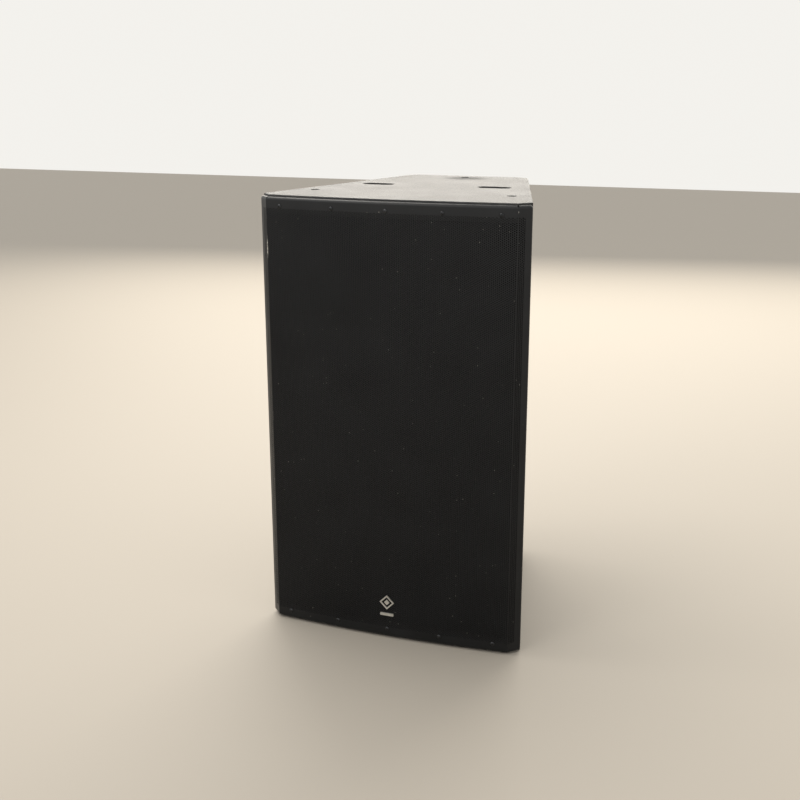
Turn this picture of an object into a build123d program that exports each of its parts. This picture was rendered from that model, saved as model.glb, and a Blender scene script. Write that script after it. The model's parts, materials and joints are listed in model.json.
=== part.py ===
from build123d import *
from math import asin, cos, degrees, hypot, sin, sqrt
import os

# A trapezoidal two-way loudspeaker cabinet, in millimetres. +Z is up, the grille faces -Y, and the origin is
# at the middle of the underside of the bounding box.

# Cabinet outline, seen from above
cabinet_width = 451.0
cabinet_height = 740.0
cabinet_depth = 452.0
crease_half_width = 208.0
front_rise = 10.4
facet_run = 17.6
rear_half_width = 112.0
rear_corner_radius = 25.0
proud = 2.0

# Wooden panels
panel = 15.0
baffle = 18.0
baffle_setback = 40.0
edge_inset = 7.0
edge_round = 1.5
brace_thickness = 12.0
brace_z = 449.0
brace_front_window = (260.0, 140.0)
brace_front_window_y = -70.0
brace_rear_window = (160.0, 130.0)
brace_rear_window_y = 105.0
batten_height = 14.0

# Grille and what holds it
grille_sheet = 1.2
grille_top_gap = 3.0
grille_bend = 5.0
grille_return = 6.0
crease_split = (3.0, 1.0, 12.0, 3.0)
gasket_thickness = 3.0
foam_gap = 0.2
foam_thickness = 4.6
foam_side_inset = 5.0
foam_batten_gap = 0.5
grille_screw_columns = (-182.3, -91.2, 0.0, 91.2, 182.3)
grille_screw_edge = 17.3
grille_screw_head = (3.5, 1.8)
grille_screw_shank = (1.75, 20.0)
grille_screw_hole = 2.0

# Badge: a diamond frame, a small diamond in it and a bar under them
badge_z = 66.5
badge_half = 13.0
badge_line = 2.4
badge_core = 5.0
badge_bar = (24.0, 5.0)
badge_bar_corner = 1.5
badge_bar_z = 44.5

# Finger slots and rigging points, the same in the top and the bottom
slot_size = (60.0, 28.0)
slot_x = 105.0
slot_y = 21.5
cup_wall = 2.0
cup_depth = 27.0
cup_recess = 0.5
front_rigging = (169.0, -107.6)
rear_rigging_y = 196.7
back_rigging_z = 640.0
rigging_hole = 8.0
rigging_boss = 7.8
rigging_boss_recess = 3.0
rigging_plate = (56.0, 28.0, 4.0)
rigging_plate_shift = 16.0
thread_radius = 4.25

# Woofer, turned about an axis along Y
woofer_z = 255.0
woofer_rim = 192.0
woofer_rim_thickness = 6.0
woofer_cutout = 176.0
woofer_bolt_circle = 184.0
woofer_bolt_count = 8
woofer_bolt_head = (5.0, 4.0)
woofer_bolt_shank = (3.0, 30.0)
basket_mouth = 166.0
basket_shoulder = (175.0, 16.0)
basket_slope_start = (168.0, 14.0)
basket_bowl = (104.0, 8.0)
basket_floor = (53.9, 4.0)
basket_window = (80.0, 60.0, 88.0)
basket_window_start = (100.0, 22.0)
basket_window_count = 6
woofer_gasket_step = (5.0, 11.0, 3.0)
cone_edge = 150.0
cone_lip = 8.0
cone_lip_rear = 7.0
cone_depth = 53.0
cone_wall = 1.6
roll_radius = 8.0
surround_wall = 1.0
surround_lip = 6.0
cap_overhang = 6.0
cap_rise = 16.0
cap_wall = 0.9
cap_rim = 1.4
cap_shoulder = (0.72, 0.5)
coil_radius = 49.9
coil_former_wall = 0.6
coil_winding = 1.4
coil_length = 22.0
top_plate_y = -69.0
top_plate_thickness = 10.0
plate_radius = 105.0
plate_gap = 0.7
magnet_radii = (60.0, 109.0)
magnet_thickness = 22.0
back_plate_thickness = 10.0
pole_gap = 0.9
pole_vent = 12.0
spider_wall = 0.8
spider_waves = 4
spider_wave_height = 3.0
spider_reach = 87.0
spider_seat = (88.0, 98.0)
spider_rim = 97.0
spider_seat_height = 20.0
terminal_block = (30.0, 20.0, 16.0)
terminal_block_place = (-120.0, 142.0)

# Horn and compression driver, on an axis along Y
horn_z = 580.0
horn_flange = (372.0, 226.0, 5.0)
horn_flange_corner = 6.0
horn_gasket = 1.5
horn_wall = 4.0
horn_stations = ((332.0, 188.0, 30.0), (232.0, 128.0, 34.0), (110.0, 78.0, 30.0), (36.0, 36.0, 17.9))
horn_station_depths = (0.0, 42.0, 92.0, 131.5)
horn_cutout_clearance = 2.0
horn_screw_columns = (-180.0, 0.0, 180.0)
horn_screw_rows = (-107.0, 0.0, 107.0)
horn_screw_head = (4.0, 2.5)
horn_screw_shank = (2.0, 18.0)
throat_flange = (46.0, 6.0)
throat_y = -58.0
driver_radius = 62.0
driver_bolt_circle = 38.5
driver_bolt = (2.5, 13.0)
driver_bolt_head = (4.2, 4.0)
throat_plate = (18.0, 8.0)
driver_pole = (36.0, 24.0)
driver_magnet = (42.0, 26.0)
driver_top_plate = (38.6, 10.0)
plug_radius = 33.0
plug_nose = (22.0, 34.0)
plug_step = 0.8
plug_shoulder = (23.0, 6.2)
plug_crown = 10.0
diaphragm_radius = 37.2
diaphragm_seat = 3.0
diaphragm_crown = 15.0
diaphragm_wall = 0.4
dome_shoulder = (0.7, 0.53)
driver_coil = (36.8, 37.9, 7.0, 1.0)
clamp_ring = (46.0, 60.0, 2.5)
suspension_radius = 52.0
suspension_wall = 0.3
driver_cover = (60.5, 64.0, 26.0)
driver_cover_slope = (8.0, 8.0)
driver_cover_floor = 4.0
driver_cover_slope_inner = 6.0

# Port tubes
port_x = 140.0
port_z = 67.0
port_bore = 30.0
port_wall = 3.0
port_flange = (37.0, 3.0)
port_length = 100.0

# Crossover, on the bottom panel behind the woofer
board_size = (150.0, 140.0, 1.6)
board_y = 110.0
standoff_height = 10.0
standoff_radius = 4.0
board_screw = (1.5, 2.8, 2.2)
board_screw_length = 8.0
standoff_floor = 1.0
board_hole_inset = 7.0
inductors = ((-40.0, 140.0, 12.0, 30.0, 28.0), (40.0, 150.0, 10.0, 24.0, 22.0), (45.0, 80.0, 8.0, 18.0, 18.0))
bobbin_wall = 3.0
bobbin_flange = (1.5, 2.0)
flat_capacitors = ((-35.0, 60.0), (-35.0, 86.0))
flat_capacitor_size = (11.0, 50.0)
tall_capacitor = (6.0, 106.0, 10.0, 40.0)
resistors = ((24.0, 51.0), (52.0, 112.0))
resistor_size = (44.0, 12.0, 12.0)

# Input dish, let into the back panel
dish_z = 200.0
dish_flange = (152.0, 122.0, 2.0)
dish_body = (128.0, 98.0, 38.0)
dish_wall = 2.0
dish_floor = 2.5
dish_gasket = 1.0
dish_clearance = 0.5
dish_screw_offset = (70.0, 55.0)
dish_screw = (1.75, 3.4, 14.0)
dish_screw_cone = 2.0
socket_places = ((-42.0, 221.0), (-8.0, 221.0))
socket_flange = (26.0, 31.0, 2.0)
socket_barrel = (12.0, 22.0)
socket_groove = (6.2, 10.4, 20.0)
strip_place = (-22.0, 173.0)
strip_size = (66.0, 20.0, 12.0)
strip_cell = (13.0, 14.0, 8.0)
strip_pitch = 15.5
strip_screw = (3.8, 3.0, 2.0, 3.0)
strip_screw_slot = (1.2, 1.0)
switch_place = (40.0, 200.0)
switch_body = (26.0, 14.0, 11.0)
switch_slot = (12.0, 6.0, 6.5)
switch_knob = (5.5, 5.4)
switch_travel = 5.0
switch_proud = 5.0
knob_gap = 0.4
knob_groove = (0.7, 0.7)
knob_groove_count = 3

# Leads and wadding
lead_radius = 2.5
lead_bend = 16.0
input_lead_route = ((-42.0, 125.0, 221.0), (-68.0, 105.0, 130.0))
woofer_lead_route = ((0.0, -72.0, 397.0), (62.0, -40.0, 397.0), (115.0, 60.0, 330.0), (68.0, 126.0, 170.0))
driver_lead_route = ((-25.0, 50.0, 580.0), (-60.0, 100.0, 520.0), (-60.0, 100.0, 420.0),
                     (-68.0, 166.0, 140.0))
wadding = 15.0
wadding_low = 65.0
wadding_brace_gap = 5.0
wadding_upper_start = 25.0
wadding_side_reach = 150.0

# Worked out from the above
front_y = proud - (cabinet_depth + proud) / 2
rear_y = front_y + cabinet_depth
crease_y = front_y + front_rise
facet_end_y = crease_y + facet_run
front_radius = (crease_half_width**2 + front_rise**2) / (2 * front_rise)
front_centre_y = front_y + front_radius
baffle_y = front_y + baffle_setback
under_top = cabinet_height - panel
board_top_z = panel + standoff_height + board_size[2]
driver_top_y = throat_y + throat_plate[1] + driver_magnet[1] + driver_top_plate[1]
big = 2000.0


def unit(dx, dy):
    length = hypot(dx, dy)
    return dx / length, dy / length


def cross_point(n1, c1, n2, c2):
    """The point where two lines n.p = c meet."""
    det = n1[0] * n2[1] - n1[1] * n2[0]
    return (c1 * n2[1] - c2 * n1[1]) / det, (n1[0] * c2 - n2[0] * c1) / det


def plan_face(front=0.0, side=0.0, rear=0.0, rounded=True):
    """The cabinet outline from above, moved in by front on the curve and both facets, by side and by rear."""
    fx, fy = unit(cabinet_width / 2 - crease_half_width, facet_run)
    sx, sy = unit(rear_half_width - cabinet_width / 2, rear_y - facet_end_y)
    facet_normal = (fy, -fx)
    side_normal = (sy, -sx)
    facet_c = facet_normal[0] * crease_half_width + facet_normal[1] * crease_y - front
    side_c = side_normal[0] * cabinet_width / 2 + side_normal[1] * facet_end_y - side
    reach = facet_c - facet_normal[1] * front_centre_y
    along = -sqrt((front_radius - front) ** 2 - reach**2)
    crease = (facet_normal[0] * reach + fx * along, front_centre_y + facet_normal[1] * reach + fy * along)
    end = cross_point(facet_normal, facet_c, side_normal, side_c)
    corner = cross_point(side_normal, side_c, (0.0, 1.0), rear_y - rear)
    curve = ThreePointArc((-crease[0], crease[1]), (0, front_y + front), crease)
    rest = Polyline(crease, end, corner, (-corner[0], corner[1]), (-end[0], end[1]), (-crease[0], crease[1]))
    face = make_face(curve + rest)
    if rounded:
        face = fillet(face.vertices().sort_by(Axis.Y)[-2:], rear_corner_radius)
    return face


def slab(face, z_low, z_high):
    return Pos(0, 0, z_low) * extrude(face, z_high - z_low)


def block(x, y, z):
    """A box from three (low, high) pairs."""
    middle = [(low + high) / 2 for low, high in (x, y, z)]
    return Pos(*middle) * Box(x[1] - x[0], y[1] - y[0], z[1] - z[0])


def rod(x, z, radius, y_low, y_high):
    """A cylinder along Y."""
    return Pos(x, (y_low + y_high) / 2, z) * Rot(90, 0, 0) * Cylinder(radius, y_high - y_low)


def turned(z, *points):
    """A ring turned about the Y direction at height z, from its (radius, y) corners."""
    return Pos(0, 0, z) * revolve(make_face(Polyline(*points, close=True)), Axis.Y)


def mirrored(shape):
    return mirror(shape, Plane.YZ)


def upside_down(shape):
    """The same thing turned over onto the other end of the cabinet."""
    return Pos(0, 0, cabinet_height) * Rot(0, 180, 0) * shape


def between_sides(y_low, y_high, z_low, z_high):
    """A slab that fits between the two side panels."""
    inside = slab(plan_face(-edge_inset, panel, -panel, rounded=False), z_low, z_high)
    return inside & block((-big, big), (y_low, y_high), (-big, big))


def save(name, *solids):
    shape = solids[0] if len(solids) == 1 else Compound(children=[s.solid() for s in solids])
    export_step(shape, f"parts/{name}.step")


# Cabinet


def slot_hole(x):
    return Pos(x, slot_y, 0) * SlotOverall(*slot_size)


def rigging_places():
    x, y = front_rigging
    return ((-x, y, rigging_plate_shift), (x, y, -rigging_plate_shift), (0.0, rear_rigging_y, 0.0))


def make_top_panel():
    board = slab(plan_face(edge_inset), under_top, cabinet_height)
    board = fillet(board.edges().group_by(Axis.Z)[-1], edge_round)
    for x in (-slot_x, slot_x):
        board -= slab(slot_hole(x), under_top, cabinet_height)
    for x, y, _ in rigging_places():
        board -= Pos(x, y, cabinet_height) * Cylinder(rigging_hole, 4 * panel)
    return board


def make_side_panel():
    """The right one, with its front edge cut parallel to the facet."""
    whole = slab(plan_face(edge_inset), panel, under_top)
    inside = slab(plan_face(-big / 4, panel, -big / 4, rounded=False), panel, under_top)
    return (whole - inside) & block((0, big), (-big, big), (0, cabinet_height))


def make_back_panel():
    board = slab(plan_face(edge_inset), panel, under_top)
    board &= between_sides(rear_y - panel, rear_y, panel, under_top)
    length, height, thickness = dish_flange
    pocket = thickness + dish_gasket
    board -= dish_block(length + dish_clearance, height + dish_clearance, rear_y - pocket, rear_y)
    width, height = dish_opening()
    board -= dish_block(width, height, rear_y - 2 * panel, rear_y)
    for x, z in dish_screw_places():
        board -= rod(x, z, dish_screw[0], rear_y - panel, rear_y)
    return board - rod(0, back_rigging_z, rigging_hole, rear_y - panel, rear_y)


def make_baffle():
    board = between_sides(baffle_y, baffle_y + baffle, panel, under_top)
    board -= rod(0, woofer_z, woofer_cutout, baffle_y, baffle_y + baffle)
    for x in (-port_x, port_x):
        board -= rod(x, port_z, port_bore + port_wall, baffle_y, baffle_y + baffle)
    width, height, corner = horn_stations[0]
    grow = 2 * (horn_wall + horn_cutout_clearance)
    hole = RectangleRounded(width + grow, height + grow, corner + grow / 2)
    board -= horn_prism(hole, baffle_y, baffle_y + baffle)
    for x, z in woofer_bolt_places():
        board -= rod(x, z, woofer_bolt_shank[0], baffle_y, baffle_y + baffle)
    for x, z in horn_screw_places():
        board -= rod(x, z, horn_screw_shank[0], baffle_y, baffle_y + baffle)
    return board


def make_brace():
    board = between_sides(baffle_y + baffle, rear_y - panel, brace_z, brace_z + brace_thickness)
    windows = ((brace_front_window, brace_front_window_y), (brace_rear_window, brace_rear_window_y))
    for (width, length), y in windows:
        window = Pos(0, y, 0) * RectangleRounded(width, length, 2 * panel)
        board -= slab(window, brace_z, brace_z + brace_thickness)
    return board


def make_batten():
    """The top one, ahead of the baffle and under the top panel."""
    strip = slab(plan_face(grille_sheet + gasket_thickness, panel), under_top - batten_height, under_top)
    return strip & block((-big, big), (-big, baffle_y), (0, cabinet_height))


def make_cup(x):
    outer = slab(slot_hole(x), cabinet_height - cup_depth - cup_wall, cabinet_height - cup_recess)
    inner = Pos(x, slot_y, 0) * SlotOverall(slot_size[0] - 2 * cup_wall, slot_size[1] - 2 * cup_wall)
    return outer - slab(inner, cabinet_height - cup_depth, cabinet_height)


def make_rigging_insert(x, y, shift):
    """A plate under the top panel, with a tapped boss that comes up its hole."""
    width, depth, thickness = rigging_plate
    plate = Pos(x + shift, y, under_top - thickness / 2) * Box(width, depth, thickness)
    boss_height = panel - rigging_boss_recess
    boss = Pos(x, y, under_top + boss_height / 2) * Cylinder(rigging_boss, boss_height)
    return plate + boss - Pos(x, y, under_top) * Cylinder(thread_radius, 4 * panel)


def make_rear_rigging_insert():
    width, height, thickness = rigging_plate
    inner = rear_y - panel
    plate = Pos(0, inner - thickness / 2, back_rigging_z) * Box(width, thickness, height)
    boss = rod(0, back_rigging_z, rigging_boss, inner, rear_y - rigging_boss_recess)
    return plate + boss - rod(0, back_rigging_z, thread_radius, inner - panel, rear_y)


def make_wadding():
    inner = rear_y - panel
    low = dish_z + wadding_low
    high = brace_z - wadding_brace_gap
    rear_low = between_sides(inner - wadding, inner, low, high)
    rear_high = between_sides(inner - wadding, inner, brace_z + wadding_upper_start,
                              back_rigging_z - wadding_upper_start)
    strip = slab(plan_face(0, panel), low, high)
    strip -= slab(plan_face(-panel, panel + wadding, -panel, rounded=False), 0, cabinet_height)
    side = strip & block((0, big), (0, wadding_side_reach), (0, cabinet_height))
    return rear_low, rear_high, side, mirrored(side)


# Grille


def front_point(x):
    """The point of the curved front at x, and how far its outward direction leans, in degrees."""
    lean = asin(x / front_radius)
    return (x, front_centre_y - front_radius * cos(lean)), degrees(lean)


def make_grille_screw(x, z):
    (px, py), lean = front_point(x)
    head_radius, head_height = grille_screw_head
    shank_radius, shank_length = grille_screw_shank
    head = rod(0, 0, head_radius, -head_height, 0)
    head = fillet(head.edges().group_by(Axis.Y)[0], head_height / 2)
    shank = rod(0, 0, shank_radius, 0, shank_length)
    return Pos(px, py, z) * Rot(0, 0, lean) * (head + shank)


def grille_screw_places():
    rows = (grille_screw_edge, cabinet_height - grille_screw_edge)
    return [(x, z) for z in rows for x in grille_screw_columns]


def pan(inset, radius):
    """The solid that the grille's outer or inner skin bounds, with its bends rounded."""
    low = grille_top_gap + inset
    solid = slab(plan_face(inset, inset, rounded=False), low, cabinet_height - low)
    flat = [e for e in solid.edges() if abs(e.center().Z - cabinet_height / 2) > cabinet_height / 4]
    ends = solid.edges().filter_by(Axis.Z).sort_by(Axis.X)
    bends = [e for e in flat if e.center().Y < rear_y - panel] + [ends[0], ends[-1]]
    return fillet(bends, radius)


def crease_splits():
    """Wedges that part the return flanges where the front meets a facet."""
    width, start, reach, drop = crease_split
    facet_lean = degrees(asin(unit(cabinet_width / 2 - crease_half_width, facet_run)[1]))
    lean = (front_point(crease_half_width)[1] + facet_lean) / 2
    low = cabinet_height - grille_top_gap - drop
    wedge = block((-width / 2, width / 2), (start, reach), (low, cabinet_height))
    right = Pos(crease_half_width, crease_y, 0) * Rot(0, 0, lean) * wedge
    top = [right, mirrored(right)]
    return top + [upside_down(w) for w in top]


def make_grille():
    skin = pan(0, grille_bend) - pan(grille_sheet, grille_bend - grille_sheet)
    strip = slab(plan_face(-panel, -panel), 0, cabinet_height)
    strip -= slab(plan_face(grille_return, -panel), 0, cabinet_height)
    sheet = skin & strip & block((-big, big), (-big, facet_end_y + 2 * grille_return), (0, cabinet_height))
    for x, z in grille_screw_places():
        (px, py), lean = front_point(x)
        sheet -= Pos(px, py, z) * Rot(0, 0, lean) * rod(0, 0, grille_screw_hole, -panel, panel)
    for wedge in crease_splits():
        sheet -= wedge
    return sheet


def make_gasket():
    strip = slab(plan_face(grille_sheet, panel), under_top - batten_height, under_top)
    strip -= slab(plan_face(grille_sheet + gasket_thickness, panel), 0, cabinet_height)
    return strip


def make_foam():
    low = panel + batten_height + foam_batten_gap
    front = grille_sheet + foam_gap
    sheet = slab(plan_face(front, foam_side_inset), low, cabinet_height - low)
    return sheet - slab(plan_face(front + foam_thickness, foam_side_inset), 0, cabinet_height)


def badge_piece(face, z):
    return Pos(0, front_y, z) * Rot(90, 0, 0) * extrude(face, proud)


def make_badge():
    side = badge_half * sqrt(2)
    frame = Rot(0, 0, 45) * (Rectangle(side, side) - Rectangle(side - 2 * badge_line, side - 2 * badge_line))
    core = Rot(0, 0, 45) * Rectangle(badge_core * sqrt(2), badge_core * sqrt(2))
    bar = RectangleRounded(*badge_bar, badge_bar_corner)
    return badge_piece(frame, badge_z), badge_piece(core, badge_z), badge_piece(bar, badge_bar_z)


# Woofer


def woofer_bolt_places():
    turn = 360 / woofer_bolt_count
    spots = [Vector(woofer_bolt_circle, 0).rotate(Axis.Z, turn * (i + 0.5)) for i in range(woofer_bolt_count)]
    return [(p.X, woofer_z + p.Y) for p in spots]


def make_bolt(x, z, head, shank, face_y):
    """A bolt with its head on the face at face_y, pointing back."""
    return rod(x, z, head[0], face_y - head[1], face_y) + rod(x, z, shank[0], face_y, face_y + shank[1])


def make_woofer_frame():
    rim_y = baffle_y - woofer_rim_thickness
    seat_y = top_plate_y - spider_seat_height
    shoulder, shoulder_depth = basket_shoulder
    slope, slope_depth = basket_slope_start
    bowl, bowl_height = basket_bowl
    hole, floor = basket_floor
    frame = turned(
        woofer_z,
        (basket_mouth, rim_y),
        (woofer_rim, rim_y),
        (woofer_rim, baffle_y),
        (shoulder, baffle_y),
        (shoulder, baffle_y + shoulder_depth),
        (bowl, top_plate_y - bowl_height),
        (bowl, top_plate_y),
        (hole, top_plate_y),
        (hole, top_plate_y - floor),
        (spider_seat[0], top_plate_y - floor),
        (spider_seat[0], seat_y),
        (spider_seat[1], seat_y),
        (slope, baffle_y + slope_depth),
    )
    length, depth, width = basket_window
    start, front = basket_window_start
    window = Pos(start + length / 2, baffle_y + front + depth / 2, 0) * Box(length, depth, width)
    for i in range(basket_window_count):
        turn = 360 / basket_window_count * (i + 1)
        frame -= Pos(0, 0, woofer_z) * Rot(0, turn, 0) * window
    for x, z in woofer_bolt_places():
        frame -= rod(x, z, woofer_bolt_shank[0], rim_y, baffle_y)
    return frame


def make_woofer_gasket():
    rim_y = baffle_y - woofer_rim_thickness
    step_width, width, thickness = woofer_gasket_step
    inner = cone_edge + 2 * roll_radius + surround_wall
    outer = inner + width
    step = inner + step_width
    return turned(
        woofer_z,
        (inner, rim_y - thickness),
        (outer, rim_y - thickness),
        (outer, rim_y),
        (step, rim_y),
        (step, rim_y - surround_wall),
        (inner, rim_y - surround_wall),
    )


def flat_ring(inner, outer, y):
    """A flat ring of the surround's cloth, in front of y."""
    return turned(0, (inner, y), (inner, y - surround_wall), (outer, y - surround_wall), (outer, y))


def make_surround():
    """A half roll between two flat rings, in front of the cone's lip and the rim."""
    y = baffle_y - woofer_rim_thickness
    middle = cone_edge + roll_radius
    outer_roll = roll_radius + surround_wall / 2
    inner_roll = roll_radius - surround_wall / 2
    tire = revolve(Pos(middle, y - surround_wall) * (Circle(outer_roll) - Circle(inner_roll)), Axis.Y)
    tire &= block((-big, big), (-big, y - surround_wall), (-big, big))
    lip = flat_ring(cone_edge - surround_lip, cone_edge + surround_wall / 2, y)
    rim = flat_ring(middle + inner_roll, middle + roll_radius + surround_lip, y)
    return Pos(0, 0, woofer_z) * (tire + lip + rim)


def make_cone():
    lip_y = baffle_y - woofer_rim_thickness
    neck_y = lip_y + cone_depth
    return turned(
        woofer_z,
        (coil_radius, neck_y),
        (cone_edge - cone_lip, lip_y),
        (cone_edge, lip_y),
        (cone_edge, lip_y + cone_wall),
        (cone_edge - cone_lip_rear, lip_y + cone_wall),
        (coil_radius, neck_y + 2 * cone_wall),
    )


def make_dust_cap():
    base_y = baffle_y - woofer_rim_thickness + cone_depth - cap_overhang
    reach = coil_radius + cap_overhang
    inner_reach = reach - cap_rim
    crown_y = base_y - cap_rise
    shoulder_y = base_y - cap_rise * cap_shoulder[1]
    outer = ThreePointArc((0, crown_y), (reach * cap_shoulder[0], shoulder_y), (reach, base_y))
    inner = ThreePointArc((0, crown_y + cap_wall), (inner_reach * cap_shoulder[0], shoulder_y + cap_wall),
                          (inner_reach, base_y))
    first = Line((0, crown_y), (0, crown_y + cap_wall))
    last = Line((reach, base_y), (inner_reach, base_y))
    face = make_face(outer + inner + first + last)
    return Pos(0, 0, woofer_z) * revolve(face, Axis.Y)


def make_voice_coil():
    """The former, glued in the cone's neck, and the winding on its rear end."""
    front = baffle_y - woofer_rim_thickness + cone_depth
    middle = top_plate_y + top_plate_thickness / 2
    back = middle + coil_length / 2
    inner = coil_radius - coil_former_wall
    former = turned(woofer_z, (inner, front), (coil_radius, front), (coil_radius, back), (inner, back))
    outer = coil_radius + coil_winding
    start = middle - coil_length / 2
    wire = turned(woofer_z, (coil_radius, start), (outer, start), (outer, back), (coil_radius, back))
    return former, wire


def make_spider():
    """A pleated disc from the former to its seat in the basket."""
    seat = top_plate_y - spider_seat_height
    steps = 2 * spider_waves
    inner = coil_radius
    outer = spider_reach
    crests = []
    for i in range(1, steps):
        lift = -spider_wave_height if i % 2 else spider_wave_height
        crests.append((inner + (outer - inner) * i / steps, seat - spider_wall / 2 + lift))
    half = spider_wall / 2
    face = seat - spider_wall
    front = [(inner, face), *[(r, y - half) for r, y in crests], (spider_rim, face)]
    back = [(inner, seat), *[(r, y + half) for r, y in crests], (spider_seat[0], seat), (spider_rim, seat)]
    return turned(woofer_z, *front, *reversed(back))


def make_top_plate():
    inner = coil_radius + coil_winding + plate_gap
    back = top_plate_y + top_plate_thickness
    return turned(woofer_z, (inner, top_plate_y), (plate_radius, top_plate_y), (plate_radius, back),
                  (inner, back))


def make_magnet():
    front = top_plate_y + top_plate_thickness
    back = front + magnet_thickness
    inner, outer = magnet_radii
    return turned(woofer_z, (inner, front), (outer, front), (outer, back), (inner, back))


def make_back_plate():
    """The back plate and the vented pole, one forging."""
    front = top_plate_y + top_plate_thickness + magnet_thickness
    back = front + back_plate_thickness
    pole = coil_radius - coil_former_wall - pole_gap
    return turned(woofer_z, (pole_vent, top_plate_y), (pole, top_plate_y), (pole, front),
                  (plate_radius, front), (plate_radius, back), (pole_vent, back))


def make_woofer_terminals():
    """A terminal block on the basket's top spoke."""
    y, above = terminal_block_place
    return Pos(0, y, woofer_z + above) * Box(*terminal_block) - make_woofer_frame()


# Horn and driver


def horn_prism(face, y_low, y_high):
    """A face drawn as width by height, made solid from y_low to y_high on the horn's axis."""
    return Pos(0, y_high, horn_z) * Rot(90, 0, 0) * extrude(face, y_high - y_low)


def horn_loft(grow):
    mouth_y = baffle_y - horn_gasket - horn_flange[2]
    faces = []
    for (width, height, corner), depth in zip(horn_stations, horn_station_depths):
        face = RectangleRounded(width + 2 * grow, height + 2 * grow, corner + grow)
        faces.append(Pos(0, mouth_y + depth, horn_z) * Rot(90, 0, 0) * face)
    return loft(faces)


def horn_screw_places():
    spots = [(x, horn_z + z) for x in horn_screw_columns for z in horn_screw_rows]
    return [spot for spot in spots if spot != (0.0, horn_z)]


def driver_bolt_places():
    step = driver_bolt_circle / sqrt(2)
    return [(x, horn_z + z) for x in (-step, step) for z in (-step, step)]


def make_horn():
    mouth_y = baffle_y - horn_gasket - horn_flange[2]
    body = horn_loft(horn_wall)
    width, height, thickness = horn_flange
    body += horn_prism(RectangleRounded(width, height, horn_flange_corner), mouth_y, mouth_y + thickness)
    radius, depth = throat_flange
    body += rod(0, horn_z, radius, throat_y - depth, throat_y)
    body -= horn_loft(0)
    for x, z in horn_screw_places():
        body -= rod(x, z, horn_screw_shank[0], mouth_y, mouth_y + thickness)
    for x, z in driver_bolt_places():
        body -= rod(x, z, driver_bolt[0], throat_y - depth, throat_y)
    return body


def make_horn_gasket():
    width, height, corner = horn_stations[0]
    grow = 2 * (horn_wall + horn_cutout_clearance)
    ring = RectangleRounded(horn_flange[0], horn_flange[1], horn_flange_corner)
    ring -= RectangleRounded(width + grow, height + grow, corner + grow / 2)
    ring = horn_prism(ring, baffle_y - horn_gasket, baffle_y)
    for x, z in horn_screw_places():
        ring -= rod(x, z, horn_screw_shank[0], baffle_y - panel, baffle_y)
    return ring


def make_horn_screw(x, z):
    return make_bolt(x, z, horn_screw_head, horn_screw_shank, baffle_y - horn_gasket - horn_flange[2])


def make_throat_plate():
    """The driver's front plate and its bored pole."""
    throat, thickness = throat_plate
    pole, pole_mouth = driver_pole
    face = throat_y + thickness
    plate = turned(horn_z, (throat, throat_y), (driver_radius, throat_y), (driver_radius, face), (pole, face),
                   (pole, driver_top_y), (pole_mouth, driver_top_y))
    bolt_radius, bolt_length = driver_bolt
    for x, z in driver_bolt_places():
        plate -= rod(x, z, bolt_radius, throat_y, throat_y + bolt_length - throat_flange[1])
    return plate


def driver_ring(inner, outer, y_low, y_high):
    return turned(horn_z, (inner, y_low), (outer, y_low), (outer, y_high), (inner, y_high))


def make_driver_magnet():
    front = throat_y + throat_plate[1]
    return driver_ring(driver_magnet[0], driver_radius, front, front + driver_magnet[1])


def make_driver_top_plate():
    return driver_ring(driver_top_plate[0], driver_radius, driver_top_y - driver_top_plate[1], driver_top_y)


def dome(edge, edge_y, crown_y, wall):
    """A thin dome about the horn's axis, from its rim to its crown."""
    mid = (edge * dome_shoulder[0], edge_y + (crown_y - edge_y) * dome_shoulder[1])
    outer = ThreePointArc((0, crown_y), mid, (edge, edge_y))
    inner = ThreePointArc((0, crown_y - wall), (mid[0] - wall / 2, mid[1] - wall), (edge - wall, edge_y))
    first = Line((0, crown_y), (0, crown_y - wall))
    last = Line((edge, edge_y), (edge - wall, edge_y))
    return Pos(0, 0, horn_z) * revolve(make_face(outer + inner + first + last), Axis.Y)


def make_phase_plug():
    """A cone that points down the throat, and behind it a dome that the diaphragm's dome follows."""
    y = driver_top_y
    nose_radius, nose_length = plug_nose
    back = y + plug_step
    nose = turned(horn_z, (0, y - nose_length), (nose_radius, y), (plug_radius, y), (plug_radius, back),
                  (0, back))
    crown = (0, y + plug_crown)
    rear = ThreePointArc((plug_radius, back), (plug_shoulder[0], y + plug_shoulder[1]), crown)
    face = make_face(rear + Polyline(crown, (0, back), (plug_radius, back)))
    return nose + Pos(0, 0, horn_z) * revolve(face, Axis.Y)


def make_diaphragm():
    seat_y = driver_top_y + diaphragm_seat
    return dome(diaphragm_radius, seat_y, driver_top_y + diaphragm_crown, diaphragm_wall)


def make_driver_coil():
    """The diaphragm's former with its winding, in the driver's gap."""
    inner, outer, below, above = driver_coil
    start = driver_top_y - below
    wound = driver_top_y + above
    end = driver_top_y + diaphragm_seat
    return turned(horn_z, (inner, start), (outer, start), (outer, wound), (diaphragm_radius, wound),
                  (diaphragm_radius, end), (inner, end))


def make_clamp_ring():
    inner, outer, thickness = clamp_ring
    return driver_ring(inner, outer, driver_top_y, driver_top_y + thickness)


def make_suspension():
    front = driver_top_y + clamp_ring[2]
    return driver_ring(diaphragm_radius, suspension_radius, front, front + suspension_wall)


def make_rear_cover():
    inner, outer, height = driver_cover
    slope_in, slope_up = driver_cover_slope
    top = driver_top_y + height
    inside = top - driver_cover_floor
    return turned(horn_z, (inner, driver_top_y), (outer, driver_top_y), (outer, top - slope_up),
                  (outer - slope_in, top), (0, top), (0, inside), (inner - driver_cover_slope_inner, inside),
                  (inner, inside - driver_cover_slope_inner))


# Ports


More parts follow.
